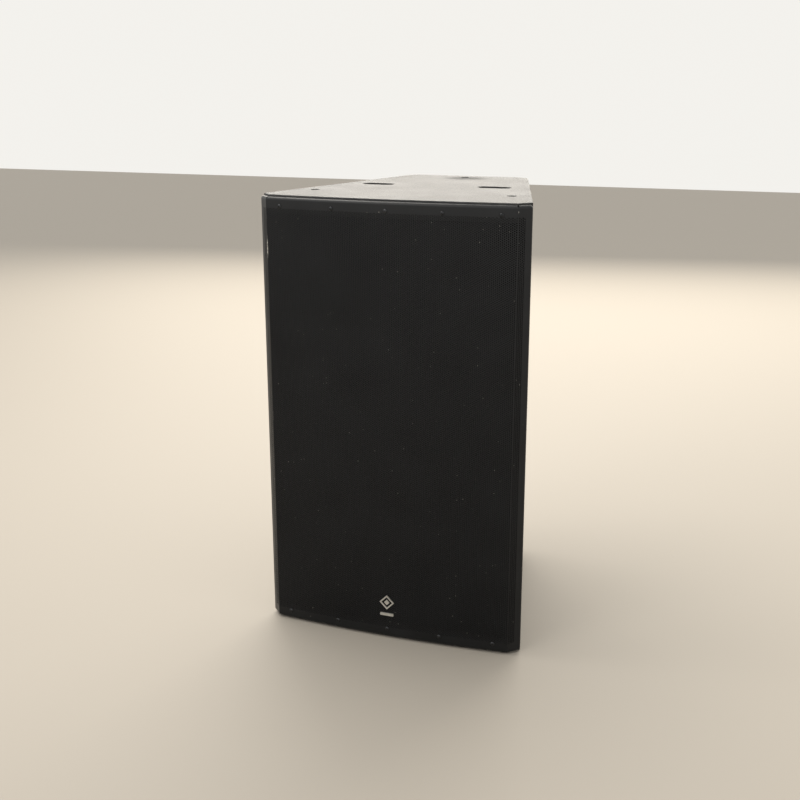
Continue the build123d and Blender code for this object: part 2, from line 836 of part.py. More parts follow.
def make_port_tube():
    """The right one: a flange on the baffle and a tube behind it."""
    radius, thickness = port_flange
    outer = port_bore + port_wall
    tube = rod(port_x, port_z, outer, baffle_y, baffle_y + port_length)
    tube += rod(port_x, port_z, radius, baffle_y - thickness, baffle_y)
    return tube - rod(port_x, port_z, port_bore, baffle_y - panel, baffle_y + port_length)


# Crossover


def board_hole_places():
    x = board_size[0] / 2 - board_hole_inset
    y = board_size[1] / 2 - board_hole_inset
    return [(sx * x, board_y + sy * y) for sx in (-1, 1) for sy in (-1, 1)]


def post(x, y, radius, z_low, z_high):
    return Pos(x, y, (z_low + z_high) / 2) * Cylinder(radius, z_high - z_low)


def make_board():
    width, depth, thickness = board_size
    z = board_top_z - thickness
    board = block((-width / 2, width / 2), (board_y - depth / 2, board_y + depth / 2), (z, board_top_z))
    for x, y in board_hole_places():
        board -= post(x, y, board_screw[0], z, board_top_z)
    return board


def make_standoff(x, y):
    top = panel + standoff_height
    return post(x, y, standoff_radius, panel, top) - post(x, y, board_screw[0], panel + standoff_floor, top)


def make_board_screw(x, y):
    shank_radius, head_radius, head_height = board_screw
    z = board_top_z
    return post(x, y, shank_radius, z - board_screw_length, z) + post(x, y, head_radius, z, z + head_height)


def make_inductor(x, y, inner, outer, height):
    """A wound bobbin, its bore the wall's thickness inside the winding."""
    overhang, thickness = bobbin_flange
    top = board_top_z + height
    bobbin = post(x, y, outer, board_top_z + thickness, top - thickness)
    bobbin += post(x, y, outer + overhang, board_top_z, board_top_z + thickness)
    bobbin += post(x, y, outer + overhang, top - thickness, top)
    return bobbin - post(x, y, inner - bobbin_wall, board_top_z, top)


def make_flat_capacitor(x, y):
    radius, length = flat_capacitor_size
    z = board_top_z + radius
    return Pos(x, y, z) * Rot(0, 90, 0) * Cylinder(radius, length)


def make_tall_capacitor():
    x, y, radius, height = tall_capacitor
    z = board_top_z
    return post(x, y, radius, z, z + height)


def make_resistor(x, y):
    length, width, height = resistor_size
    z = board_top_z
    return block((x - length / 2, x + length / 2), (y - width / 2, y + width / 2), (z, z + height))


# Input dish


def dish_block(width, height, y_low, y_high):
    return block((-width / 2, width / 2), (y_low, y_high), (dish_z - height / 2, dish_z + height / 2))


def dish_opening():
    """The hole that the dish's body drops into."""
    return dish_body[0] + dish_clearance, dish_body[1] + dish_clearance


def dish_screw_places():
    x, z = dish_screw_offset
    return [(sx * x, dish_z + sz * z) for sx in (-1, 0, 1) for sz in (-1, 0, 1) if sx or sz]


def dish_floor_y():
    """The outer face of the dish's floor."""
    return rear_y - dish_body[2]


def make_dish_screw(x, z):
    shank_radius, head_radius, length = dish_screw
    cone = Rot(-90, 0, 0) * Cone(shank_radius, head_radius, dish_screw_cone)
    shank = rod(x, z, shank_radius, rear_y - length, rear_y - dish_screw_cone)
    return Pos(x, rear_y - dish_screw_cone / 2, z) * cone + shank


def make_dish():
    width, height, thickness = dish_flange
    inner_width = dish_body[0] - 2 * dish_wall
    inner_height = dish_body[1] - 2 * dish_wall
    floor_y = dish_floor_y()
    body = dish_block(width, height, rear_y - thickness, rear_y)
    body += dish_block(dish_body[0], dish_body[1], floor_y - dish_floor, rear_y)
    body -= dish_block(inner_width, inner_height, floor_y, rear_y)
    for x, z in socket_places:
        body -= rod(x, z, socket_barrel[0], floor_y - dish_floor, floor_y)
    x, z = switch_place
    slot_x_half = switch_slot[0] / 2
    slot_z_half = switch_slot[1] / 2
    body -= block((x - slot_x_half, x + slot_x_half), (floor_y - dish_floor, floor_y),
                  (z - slot_z_half, z + slot_z_half))
    for x, z in dish_screw_places():
        body -= make_dish_screw(x, z)
    return body


def make_dish_gasket():
    width, height, thickness = dish_flange
    back = rear_y - thickness
    ring = dish_block(width, height, back - dish_gasket, back)
    ring -= dish_block(*dish_opening(), back - dish_gasket, back)
    for x, z in dish_screw_places():
        ring -= rod(x, z, dish_screw[0], back - dish_gasket, back)
    return ring


def make_socket(x, z):
    """A flange and barrel with a ring-shaped groove that takes the plug."""
    width, height, thickness = socket_flange
    radius, depth = socket_barrel
    inner, outer, groove = socket_groove
    floor_y = dish_floor_y()
    body = Pos(x, floor_y + thickness / 2, z) * Box(width, thickness, height)
    body += rod(x, z, radius, floor_y - depth, floor_y)
    front = floor_y + thickness
    ring = rod(x, z, outer, front - groove, front) - rod(x, z, inner, front - groove, front)
    return body - ring


def make_strip():
    x, z = strip_place
    width, height, depth = strip_size
    floor_y = dish_floor_y()
    body = block((x - width / 2, x + width / 2), (floor_y, floor_y + depth), (z - height / 2, z + height / 2))
    cell_width, cell_height, cell_depth = strip_cell
    top = floor_y + depth
    for cx in strip_screw_columns():
        body -= block((cx - cell_width / 2, cx + cell_width / 2), (top - cell_depth, top),
                      (z - cell_height / 2, z + cell_height / 2))
        body -= rod(cx, z, strip_screw[2], top - cell_depth - strip_screw[3], top)
    return body


def strip_screw_columns():
    return [strip_place[0] + strip_pitch * (i - 1.5) for i in range(4)]


def make_strip_screw(x):
    head_radius, head_height, shank_radius, length = strip_screw
    seat = dish_floor_y() + strip_size[2] - strip_cell[2]
    z = strip_place[1]
    screw = rod(x, z, head_radius, seat, seat + head_height) + rod(x, z, shank_radius, seat - length, seat)
    top = seat + head_height
    width, depth = strip_screw_slot
    return screw - block((x - head_radius, x + head_radius), (top - depth, top),
                         (z - width / 2, z + width / 2))


def make_switch_body():
    x, z = switch_place
    width, height, depth = switch_body
    back = dish_floor_y() - dish_floor
    body = block((x - width / 2, x + width / 2), (back - depth, back), (z - height / 2, z + height / 2))
    slot_width, slot_height, slot_depth = switch_slot
    return body - block((x - slot_width / 2, x + slot_width / 2), (back - slot_depth, back),
                        (z - slot_height / 2, z + slot_height / 2))


def make_switch_knob():
    """The knob at the left end of its slot."""
    x, z = switch_place
    width, height = switch_knob
    left = x - (width + switch_travel) / 2
    back = dish_floor_y() - dish_floor - switch_slot[2] + knob_gap
    top = dish_floor_y() + switch_proud
    knob = block((left, left + width), (back, top), (z - height / 2, z + height / 2))
    groove_width, groove_depth = knob_groove
    for i in range(knob_groove_count):
        start = left + width * (i + 0.5) / knob_groove_count - groove_width / 2
        knob -= block((start, start + groove_width), (top - groove_depth, top),
                      (z - height / 2, z + height / 2))
    return knob


# Leads


def make_lead(start, route):
    """A lead from start along its route, and from there straight down to the crossover board."""
    end = (route[-1][0], route[-1][1], board_top_z)
    path = FilletPolyline(start, *route, end, radius=lead_bend)
    first = Plane(origin=path @ 0, z_dir=path % 0)
    return sweep(first * Circle(lead_radius), path)


def make_input_lead():
    x, z = socket_places[0]
    return make_lead((x, dish_floor_y() - socket_barrel[1], z), input_lead_route)


def make_woofer_lead():
    y, above = terminal_block_place
    return make_lead((0, y + terminal_block[1] / 2, woofer_z + above), woofer_lead_route)


def make_driver_lead():
    x, _, z = driver_lead_route[0]
    return make_lead((x, driver_top_y + driver_cover[2], z), driver_lead_route)


def main():
    os.makedirs("parts", exist_ok=True)
    top_panel = make_top_panel()
    save("top_panel", top_panel)
    save("bottom_panel", upside_down(top_panel))
    side = make_side_panel()
    save("right_side_panel", side)
    save("left_side_panel", mirrored(side))
    save("back_panel", make_back_panel())
    save("front_baffle", make_baffle())
    save("window_brace", make_brace())
    screws = [make_grille_screw(x, z) for x, z in grille_screw_places()]
    batten = make_batten()
    gasket = make_gasket()
    battens = [batten, upside_down(batten)]
    gaskets = [gasket, upside_down(gasket)]
    for screw in screws:
        battens = [b - screw for b in battens]
        gaskets = [g - screw for g in gaskets]
    save("grille_battens", *battens)
    cups = [make_cup(-slot_x), make_cup(slot_x)]
    save("top_slot_cups", *cups)
    save("bottom_slot_cups", *[upside_down(c) for c in cups])
    inserts = [make_rigging_insert(*place) for place in rigging_places()]
    save("top_rigging_inserts", *inserts)
    save("bottom_rigging_inserts", *[upside_down(i) for i in inserts])
    save("rear_rigging_insert", make_rear_rigging_insert())
    save("wadding", *make_wadding())

    save("grille", make_grille())
    save("grille_gasket", *gaskets)
    save("grille_foam", make_foam())
    save("grille_screws", *screws)
    save("badge", *make_badge())

    rim_y = baffle_y - woofer_rim_thickness
    save("woofer_frame", make_woofer_frame())
    save("woofer_gasket", make_woofer_gasket())
    bolts = [make_bolt(x, z, woofer_bolt_head, woofer_bolt_shank, rim_y) for x, z in woofer_bolt_places()]
    save("woofer_bolts", *bolts)
    save("woofer_surround", make_surround())
    save("woofer_cone", make_cone())
    save("woofer_dust_cap", make_dust_cap())
    save("woofer_voice_coil", *make_voice_coil())
    save("woofer_spider", make_spider())
    save("woofer_top_plate", make_top_plate())
    save("woofer_magnet", make_magnet())
    save("woofer_back_plate", make_back_plate())
    save("woofer_terminals", make_woofer_terminals())

    save("horn_flare", make_horn())
    save("horn_gasket", make_horn_gasket())
    save("horn_screws", *[make_horn_screw(x, z) for x, z in horn_screw_places()])
    save("driver_throat_plate", make_throat_plate())
    save("driver_magnet", make_driver_magnet())
    save("driver_top_plate", make_driver_top_plate())
    save("driver_phase_plug", make_phase_plug())
    save("driver_diaphragm", make_diaphragm())
    save("driver_voice_coil", make_driver_coil())
    save("driver_clamp_ring", make_clamp_ring())
    save("driver_suspension", make_suspension())
    save("driver_rear_cover", make_rear_cover())
    flange_y = throat_y - throat_flange[1]
    save("driver_bolts",
         *[make_bolt(x, z, driver_bolt_head, driver_bolt, flange_y) for x, z in driver_bolt_places()])

    port = make_port_tube()
    save("port_tubes", port, mirrored(port))

    save("crossover_board", make_board())
    save("crossover_standoffs", *[make_standoff(x, y) for x, y in board_hole_places()])
    save("crossover_screws", *[make_board_screw(x, y) for x, y in board_hole_places()])
    save("crossover_inductors", *[make_inductor(*i) for i in inductors])
    save("crossover_capacitors", *[make_flat_capacitor(*c) for c in flat_capacitors], make_tall_capacitor())
    save("crossover_resistors", *[make_resistor(*r) for r in resistors])

    save("input_dish", make_dish())
    save("input_gasket", make_dish_gasket())
    save("input_screws", *[make_dish_screw(x, z) for x, z in dish_screw_places()])
    save("speaker_sockets", *[make_socket(x, z) for x, z in socket_places])
    save("terminal_strip", make_strip())
    save("terminal_screws", *[make_strip_screw(x) for x in strip_screw_columns()])
    save("mode_switch_body", make_switch_body())
    save("mode_switch_knob", make_switch_knob())
    save("internal_leads", make_input_lead(), make_woofer_lead(), make_driver_lead())


main()
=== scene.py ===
import json
import math

import bmesh
import bpy
from mathutils import Matrix, Vector, noise


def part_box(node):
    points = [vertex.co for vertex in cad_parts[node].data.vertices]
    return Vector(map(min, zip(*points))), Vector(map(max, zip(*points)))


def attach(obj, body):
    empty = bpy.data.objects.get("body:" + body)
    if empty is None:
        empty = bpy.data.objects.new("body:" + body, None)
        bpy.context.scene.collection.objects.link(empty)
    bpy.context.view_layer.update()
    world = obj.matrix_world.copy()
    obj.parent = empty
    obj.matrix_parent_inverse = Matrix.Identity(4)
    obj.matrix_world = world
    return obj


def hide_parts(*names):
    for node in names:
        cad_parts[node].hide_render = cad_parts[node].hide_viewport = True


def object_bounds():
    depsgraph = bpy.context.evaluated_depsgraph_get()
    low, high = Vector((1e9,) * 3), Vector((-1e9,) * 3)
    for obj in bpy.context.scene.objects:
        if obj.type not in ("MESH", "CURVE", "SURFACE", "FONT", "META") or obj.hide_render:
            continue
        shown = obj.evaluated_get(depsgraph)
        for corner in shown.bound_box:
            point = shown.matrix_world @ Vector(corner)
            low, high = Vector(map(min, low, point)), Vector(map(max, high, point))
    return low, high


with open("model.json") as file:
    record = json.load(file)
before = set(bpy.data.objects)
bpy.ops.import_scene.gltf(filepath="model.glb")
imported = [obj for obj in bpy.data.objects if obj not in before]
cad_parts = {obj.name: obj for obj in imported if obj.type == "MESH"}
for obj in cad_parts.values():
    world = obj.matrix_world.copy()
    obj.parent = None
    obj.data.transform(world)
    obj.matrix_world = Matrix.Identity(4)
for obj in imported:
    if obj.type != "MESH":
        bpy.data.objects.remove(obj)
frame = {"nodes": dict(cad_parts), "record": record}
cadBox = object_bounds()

mm = 0.001
weldDistance = 0.005 * mm
columnWidth = math.sqrt(3) / 2  # of a staggered column of holes, in pitches
print("frame loaded:", len(frame["nodes"]), "nodes")


# Colours are written as sRGB hex and turned linear here
def linear(hexColour):
    channels = [int(hexColour[i:i + 2], 16) / 255 for i in (1, 3, 5)]
    return tuple(c / 12.92 if c <= 0.04045 else ((c + 0.055) / 1.055) ** 2.4 for c in channels) + (1.0,)


# Adds one node; a link is another node's socket or a plain value
def addNode(tree, kind, settings=None, links=None):
    node = tree.nodes.new(kind)
    for name, value in (settings or {}).items():
        setattr(node, name, value)
    for key, value in (links or {}).items():
        if isinstance(value, bpy.types.NodeSocket):
            tree.links.new(value, node.inputs[key])
        else:
            node.inputs[key].default_value = value
    return node


def addObject(name, data):
    made = bpy.data.objects.new(name, data)
    bpy.context.scene.collection.objects.link(made)
    return made


# Camera and light

cameraLook = {
    "place": (0.6310, -1.8871, 0.9251),
    "pitchDown": 15.8186,
    "yaw": -20.064,  # towards -X as it looks along +Y
    "roll": -0.104,
    "lens": 51.77,
}


def placeCamera(look):
    pitch, yaw, roll = (math.radians(look[k]) for k in ("pitchDown", "yaw", "roll"))
    forward = Vector((math.sin(yaw) * math.cos(pitch), math.cos(yaw) * math.cos(pitch), -math.sin(pitch)))
    right = Vector((math.cos(yaw), -math.sin(yaw), 0))
    up = right.cross(forward)
    across = right * math.cos(roll) + up * math.sin(roll)
    over = up * math.cos(roll) - right * math.sin(roll)
    data = bpy.data.cameras.new("camera")
    data.lens = look["lens"]
    camera = addObject("camera", data)
    camera.matrix_world = Matrix((
        (across.x, over.x, -forward.x, look["place"][0]),
        (across.y, over.y, -forward.y, look["place"][1]),
        (across.z, over.z, -forward.z, look["place"][2]),
        (0, 0, 0, 1),
    ))
    bpy.context.scene.camera = camera


studioLook = {
    "skyColour": "#fffdf8",
    "skyStrength": 0.9,
    "floorColour": "#aaa399",
    "floorSize": 16.0,
    "floorRoughness": 0.7,
    # name: place, aim, width, height, watts, colour
    "lamps": {
        "behindAndAbove": ((-0.6, 3.2, 2.1), (0, 0, 0.7), 4.4, 2.6, 150.0, "#fff8ec"),
        "overhead": ((-1.0, 0.1, 2.5), (-0.1, -0.2, 0.74), 1.7, 0.9, 30.0, "#fffaf2"),
        "frontWindow": ((-1.2, -2.6, 2.7), (0, -0.2, 0.8), 1.4, 1.6, 18.0, "#fffdf8"),
    },
}


def placeLamp(name, place, aim, width, height, watts, colour):
    data = bpy.data.lights.new(name, "AREA")
    data.shape = "RECTANGLE"
    data.size = width
    data.size_y = height
    data.energy = watts
    data.color = linear(colour)[:3]
    lamp = addObject(name, data)
    lamp.location = place
    lamp.rotation_euler = (Vector(aim) - Vector(place)).to_track_quat("-Z", "Y").to_euler()


def makeStudio(look):
    world = bpy.data.worlds.new("studio")
    world.use_nodes = True
    sky = world.node_tree.nodes["Background"]
    sky.inputs["Color"].default_value = linear(look["skyColour"])
    sky.inputs["Strength"].default_value = look["skyStrength"]
    bpy.context.scene.world = world
    bpy.context.scene.view_settings.view_transform = "Standard"
    for name, lamp in look["lamps"].items():
        placeLamp(name, *lamp)
    half = look["floorSize"] / 2
    mesh = bpy.data.meshes.new("floor")
    corners = [(-half, -half, 0), (half, -half, 0), (half, half, 0), (-half, half, 0)]
    mesh.from_pydata(corners, [], [range(4)])
    floor = addObject("floor", mesh)
    paper = bpy.data.materials.new("paleFloor")
    paper.use_nodes = True
    shader = paper.node_tree.nodes["Principled BSDF"]
    shader.inputs["Base Color"].default_value = linear(look["floorColour"])
    shader.inputs["Roughness"].default_value = look["floorRoughness"]
    mesh.materials.append(paper)


placeCamera(cameraLook)
makeStudio(studioLook)
print("camera, lamps and floor placed")


# Materials. Patterns read Object coordinates, and each size in them is a real one but for the paint's pebble.

colourSpan = 0.35, 0.65  # where most of a noise's values lie, as a finish's two colours take them
roughSpan = 0.3, 0.7  # and as its roughness does
bandScale = 0.314  # the wave texture's scale for one band a metre


def newFinish(name):
    material = bpy.data.materials.new(name)
    material.use_nodes = True
    tree = material.node_tree
    return material, tree, addNode(tree, "ShaderNodeTexCoord").outputs["Object"]


# Links a finish to its shader: the first colour with the others laid over it where their patterns say, the
# height's bumps, and a roughness that follows a pattern and may be dulled further
def linkFinish(tree, look, layers, height, pattern, dulled=0.0):
    shader = tree.nodes["Principled BSDF"]
    colour = linear(look["colours"][0])
    for share, hexColour in layers:
        colour = addNode(tree, "ShaderNodeMix", {"data_type": "RGBA"}, {
            0: share, 6: colour, 7: linear(hexColour)}).outputs[2]
    bump = addNode(tree, "ShaderNodeBump", None, {
        "Height": height, "Strength": 1.0, "Distance": look["depth"]})
    rough = addNode(tree, "ShaderNodeMapRange", None, {
        "Value": pattern, "From Min": roughSpan[0], "From Max": roughSpan[1],
        "To Min": look["roughness"][0], "To Max": look["roughness"][1]}).outputs["Result"]
    dull = addNode(tree, "ShaderNodeMath", {"operation": "ADD", "use_clamp": True}, {
        0: rough, 1: dulled}).outputs[0]
    tree.links.new(colour, shader.inputs["Base Color"])
    tree.links.new(dull, shader.inputs["Roughness"])
    tree.links.new(bump.outputs["Normal"], shader.inputs["Normal"])
    for label, value in look.get("sockets", {}).items():
        shader.inputs[label].default_value = value


# How far a place is from the middle of a patch, counted in the patch's own sizes
def patchDistance(tree, place, middle, size):
    off = addNode(tree, "ShaderNodeVectorMath", {"operation": "SUBTRACT"}, {0: place, 1: middle}).outputs[0]
    scaled = addNode(tree, "ShaderNodeVectorMath", {"operation": "DIVIDE"}, {0: off, 1: size}).outputs[0]
    return addNode(tree, "ShaderNodeVectorMath", {"operation": "LENGTH"}, {0: scaled}).outputs["Value"]


# An even finish: cloudy patches of two colours, a fine grain in the height, and bands where it has them
def evenFinish(name, look):
    material, tree, place = newFinish(name)
    look = look | {key: look[key] * mm for key in ("patch", "grain", "depth")}
    stretched = addNode(tree, "ShaderNodeMapping", None, {
        "Vector": place, "Scale": look.get("stretch", (1, 1, 1))}).outputs["Vector"]
    patches = addNode(tree, "ShaderNodeTexNoise", None, {
        "Vector": place, "Scale": 1 / look["patch"], "Detail": 4.0, "Roughness": 0.6}).outputs["Fac"]
    share = addNode(tree, "ShaderNodeMapRange", {"interpolation_type": "SMOOTHSTEP"}, {
        "Value": patches, "From Min": colourSpan[0], "From Max": colourSpan[1]}).outputs["Result"]
    height = addNode(tree, "ShaderNodeTexNoise", None, {
        "Vector": stretched, "Scale": 1 / look["grain"], "Detail": 2.0}).outputs["Fac"]
    if "bands" in look:
        axis, pitch, distortion = look["bands"]
        height = addNode(tree, "ShaderNodeTexWave", {"bands_direction": axis}, {
            "Vector": stretched, "Scale": bandScale / (pitch * mm), "Distortion": distortion,
            "Detail": 2.0}).outputs["Fac"]
        share = addNode(tree, "ShaderNodeMath", {"operation": "MULTIPLY_ADD"}, {
            0: height, 1: 0.6, 2: addNode(tree, "ShaderNodeMath", {"operation": "MULTIPLY"}, {
                0: share, 1: 0.4}).outputs[0]}).outputs[0]
    linkFinish(tree, look, [(share, look["colours"][1])], height, patches)
    return material


# Texture-coated plywood: black paint rolled to a fine pebble, greyed where hands and cases have rubbed it,
# and broken through to the wood at the corners
paintLook = {
    "colours": ("#202124", "#2b2b2d"),
    "smudgeColour": "#32312f",
    "rubbedColour": "#4c4a47",
    "woodColour": "#a98d68",
    "pebble": 2.2 * mm,  # about 1.4 mm in truth, drawn coarser so that it shows
    "depth": 0.32 * mm,
    "smudge": 90 * mm,
    "smudgeSpan": (0.48, 0.72),
    "edgeWidth": 3.2 * mm,
    "edgeForce": 0.55,  # how much more an edge wears than a face
    "wearPatch": 14 * mm,
    "rubbedSpan": (0.74, 0.96),  # the wear that starts and ends the rubbed colour
    "woodSpan": (1.0, 1.05),
    "roughness": (0.50, 0.58),
    # the patch dulled round the rear rigging point: middle, size each way, where it ends and is whole
    "handled": ((10 * mm, 176 * mm, 740 * mm), (48 * mm, 34 * mm, 12 * mm)),
    "handledSpan": (1.6, 0.8),
    "handledDull": 0.2,
    "sideNormal": (0.9660, 0.2586, 0),  # of the slanted sides
    "sideReach": 166.9 * mm,
}


def paintedPlywood(name, look, low, high):
    material, tree, place = newFinish(name)
    smudges, fine, marks = (addNode(tree, "ShaderNodeTexNoise", None, {
        "Vector": place, "Scale": scale, "Detail": detail, "Roughness": rough}).outputs["Fac"]
        for scale, detail, rough in (
            (1 / look["smudge"], 5.0, 0.62), (2.5 / look["pebble"], 2.0, 0.5),
            (1 / look["wearPatch"], 5.0, 0.7)))
    pebbles = addNode(tree, "ShaderNodeTexVoronoi", {"feature": "SMOOTH_F1"}, {
        "Vector": place, "Scale": 1 / look["pebble"], "Smoothness": 0.6}).outputs["Distance"]
    height = addNode(tree, "ShaderNodeMath", {"operation": "MULTIPLY_ADD"}, {
        0: pebbles, 1: -0.7, 2: fine}).outputs[0]

    # How near a point is to the sides, the back and the two ends: 1 on the face, 0 an edge width away
    mirrored = addNode(tree, "ShaderNodeVectorMath", {"operation": "ABSOLUTE"}, {0: place}).outputs[0]
    across = addNode(tree, "ShaderNodeSeparateXYZ", None, {0: mirrored}).outputs[0]
    _, along, up = addNode(tree, "ShaderNodeSeparateXYZ", None, {0: place}).outputs
    plan = addNode(tree, "ShaderNodeCombineXYZ", None, {0: across, 1: along}).outputs[0]
    reach = addNode(tree, "ShaderNodeVectorMath", {"operation": "DOT_PRODUCT"}, {
        0: plan, 1: look["sideNormal"]}).outputs["Value"]
    atSide, atBack, atTop, atBottom = (addNode(tree, "ShaderNodeMapRange", None, {
        "Value": value, "From Min": face - inward * look["edgeWidth"], "From Max": face}).outputs[0]
        for value, face, inward in (
            (reach, look["sideReach"], 1), (along, high.y, 1), (up, high.z, 1), (up, low.z, -1)))
    atEnd = addNode(tree, "ShaderNodeMath", {"operation": "MAXIMUM"}, {0: atTop, 1: atBottom}).outputs[0]
    first = addNode(tree, "ShaderNodeCombineXYZ", None, {0: atSide, 1: atBack, 2: atSide}).outputs[0]
    second = addNode(tree, "ShaderNodeCombineXYZ", None, {0: atEnd, 1: atEnd, 2: atBack}).outputs[0]
    atEdge = addNode(tree, "ShaderNodeVectorMath", {"operation": "DOT_PRODUCT"}, {
        0: first, 1: second}).outputs["Value"]

    wear = addNode(tree, "ShaderNodeMath", {"operation": "MULTIPLY_ADD"}, {
        0: atEdge, 1: look["edgeForce"], 2: marks}).outputs[0]
    distance = patchDistance(tree, place, *look["handled"])
    blurred = addNode(tree, "ShaderNodeMath", {"operation": "ADD"}, {0: distance, 1: smudges}).outputs[0]
    smooth = {"interpolation_type": "SMOOTHSTEP"}
    smudged, rubbed, brightest, handled = (addNode(tree, "ShaderNodeMapRange", smooth, {
        "Value": value, "From Min": span[0], "From Max": span[1], "To Max": most}).outputs["Result"]
        for value, span, most in (
            (smudges, look["smudgeSpan"], 1.0), (wear, look["rubbedSpan"], 1.0),
            (wear, look["woodSpan"], 1.0), (blurred, look["handledSpan"], look["handledDull"])))
    layers = [(fine, look["colours"][1]), (smudged, look["smudgeColour"]), (rubbed, look["rubbedColour"]),
              (brightest, look["woodColour"])]
    linkFinish(tree, look, layers, height, smudges, handled)
    return material


# Powder-coated steel: a thin black satin coat that leaves the sheet's edges crisp, with dust in it, bright
# metal where the folds have been knocked, a painted highlight on the right crease near the top, and painted
# light that draws it paler the higher it is
coatLook = {
    "colours": ("#0f1011", "#2a2b2d"),
    "dustColour": "#767470",
    "bareMetalAndGlintColour": "#b9b6ae",
    "dust": 5 * mm,
    "dustSpan": (0.22, 0.12),  # a speck's edge and its full strength, as shares of the dust size
    "dustChance": 0.035,
    "paintedTopLightRise": 0.85,  # painted top light: how much paler it is drawn for each metre up
    "filmPatches": 0.4,
    "patch": 60 * mm,
    "grain": 0.5 * mm,
    "depth": 0.012 * mm,
    "roughness": (0.28, 0.40),
    "sockets": {"Specular IOR Level": 0.22},
    # place, size each way, how hard the knock was; the last is a painted highlight, the glint of the right
    # crease near the top, drawn as bare metal
    "marks": (
        ((-207.6 * mm, -215 * mm, 655 * mm), (1.9 * mm, 4 * mm, 34 * mm), 1.0),
        ((-207.6 * mm, -215 * mm, 705 * mm), (1.2 * mm, 4 * mm, 14 * mm), 0.75),
        ((-207.6 * mm, -215 * mm, 372 * mm), (1.2 * mm, 4 * mm, 20 * mm), 0.75),
        # Painted highlight: the right crease's glint near the top, drawn as a fleck of bright bare metal
        ((208 * mm, -214 * mm, 727 * mm), (0.8 * mm, 4 * mm, 4 * mm), 0.9),
    ),
    "markSpan": (1.2, 0.3),
    "wearGrain": 1.8 * mm,
    "bareAndGlintSpan": (0.36, 0.52),
}


def powderCoatedSteel(name, look):
    material, tree, place = newFinish(name)
    patches, grain, ragged = (addNode(tree, "ShaderNodeTexNoise", None, {
        "Vector": place, "Scale": 1 / look[size], "Detail": detail, "Roughness": rough}).outputs["Fac"]
        for size, detail, rough in (("patch", 4.0, 0.5), ("grain", 1.0, 0.5), ("wearGrain", 4.0, 0.7)))
    speck = addNode(tree, "ShaderNodeTexVoronoi", None, {"Vector": place, "Scale": 1 / look["dust"]})
    lottery = addNode(tree, "ShaderNodeSeparateXYZ", None, {0: speck.outputs["Color"]}).outputs[0]
    near = addNode(tree, "ShaderNodeMapRange", None, {
        "Value": speck.outputs["Distance"], "From Min": look["dustSpan"][0],
        "From Max": look["dustSpan"][1]}).outputs[0]
    drawn = addNode(tree, "ShaderNodeMath", {"operation": "GREATER_THAN"}, {
        0: lottery, 1: 1 - look["dustChance"]}).outputs[0]
    dusty = addNode(tree, "ShaderNodeMath", {"operation": "MULTIPLY"}, {0: near, 1: drawn}).outputs[0]
    wornAndGlint = 0.0
    # Knocks to bare metal, and the painted highlight on the right crease, as pale flecks
    for middle, size, force in look["marks"]:
        distance = patchDistance(tree, place, middle, size)
        fleckShare = addNode(tree, "ShaderNodeMapRange", None, {
            "Value": distance, "From Min": look["markSpan"][0], "From Max": look["markSpan"][1],
            "To Max": force}).outputs[0]
        wornAndGlint = addNode(tree, "ShaderNodeMath", {"operation": "MAXIMUM"}, {0: fleckShare, 1: wornAndGlint}).outputs[0]
    both = addNode(tree, "ShaderNodeMath", {"operation": "MULTIPLY"}, {0: ragged, 1: wornAndGlint}).outputs[0]
    brightest = addNode(tree, "ShaderNodeMapRange", {"interpolation_type": "SMOOTHSTEP"}, {
        "Value": both, "From Min": look["bareAndGlintSpan"][0], "From Max": look["bareAndGlintSpan"][1]}).outputs["Result"]
    # Painted light: the coat is drawn paler the higher it is, as if lit from above, over cloudy patches of
    # its own tone
    up = addNode(tree, "ShaderNodeSeparateXYZ", None, {0: place}).outputs[2]
    clouds = addNode(tree, "ShaderNodeMath", {"operation": "MULTIPLY"}, {
        0: patches, 1: look["filmPatches"]}).outputs[0]
    cloudsAndPaintedTopLight = addNode(tree, "ShaderNodeMath", {"operation": "MULTIPLY_ADD", "use_clamp": True}, {
        0: up, 1: look["paintedTopLightRise"], 2: clouds}).outputs[0]
    layers = [(cloudsAndPaintedTopLight, look["colours"][1]), (dusty, look["dustColour"]), (brightest, look["bareMetalAndGlintColour"])]
    linkFinish(tree, look, layers, grain, patches)
    return material


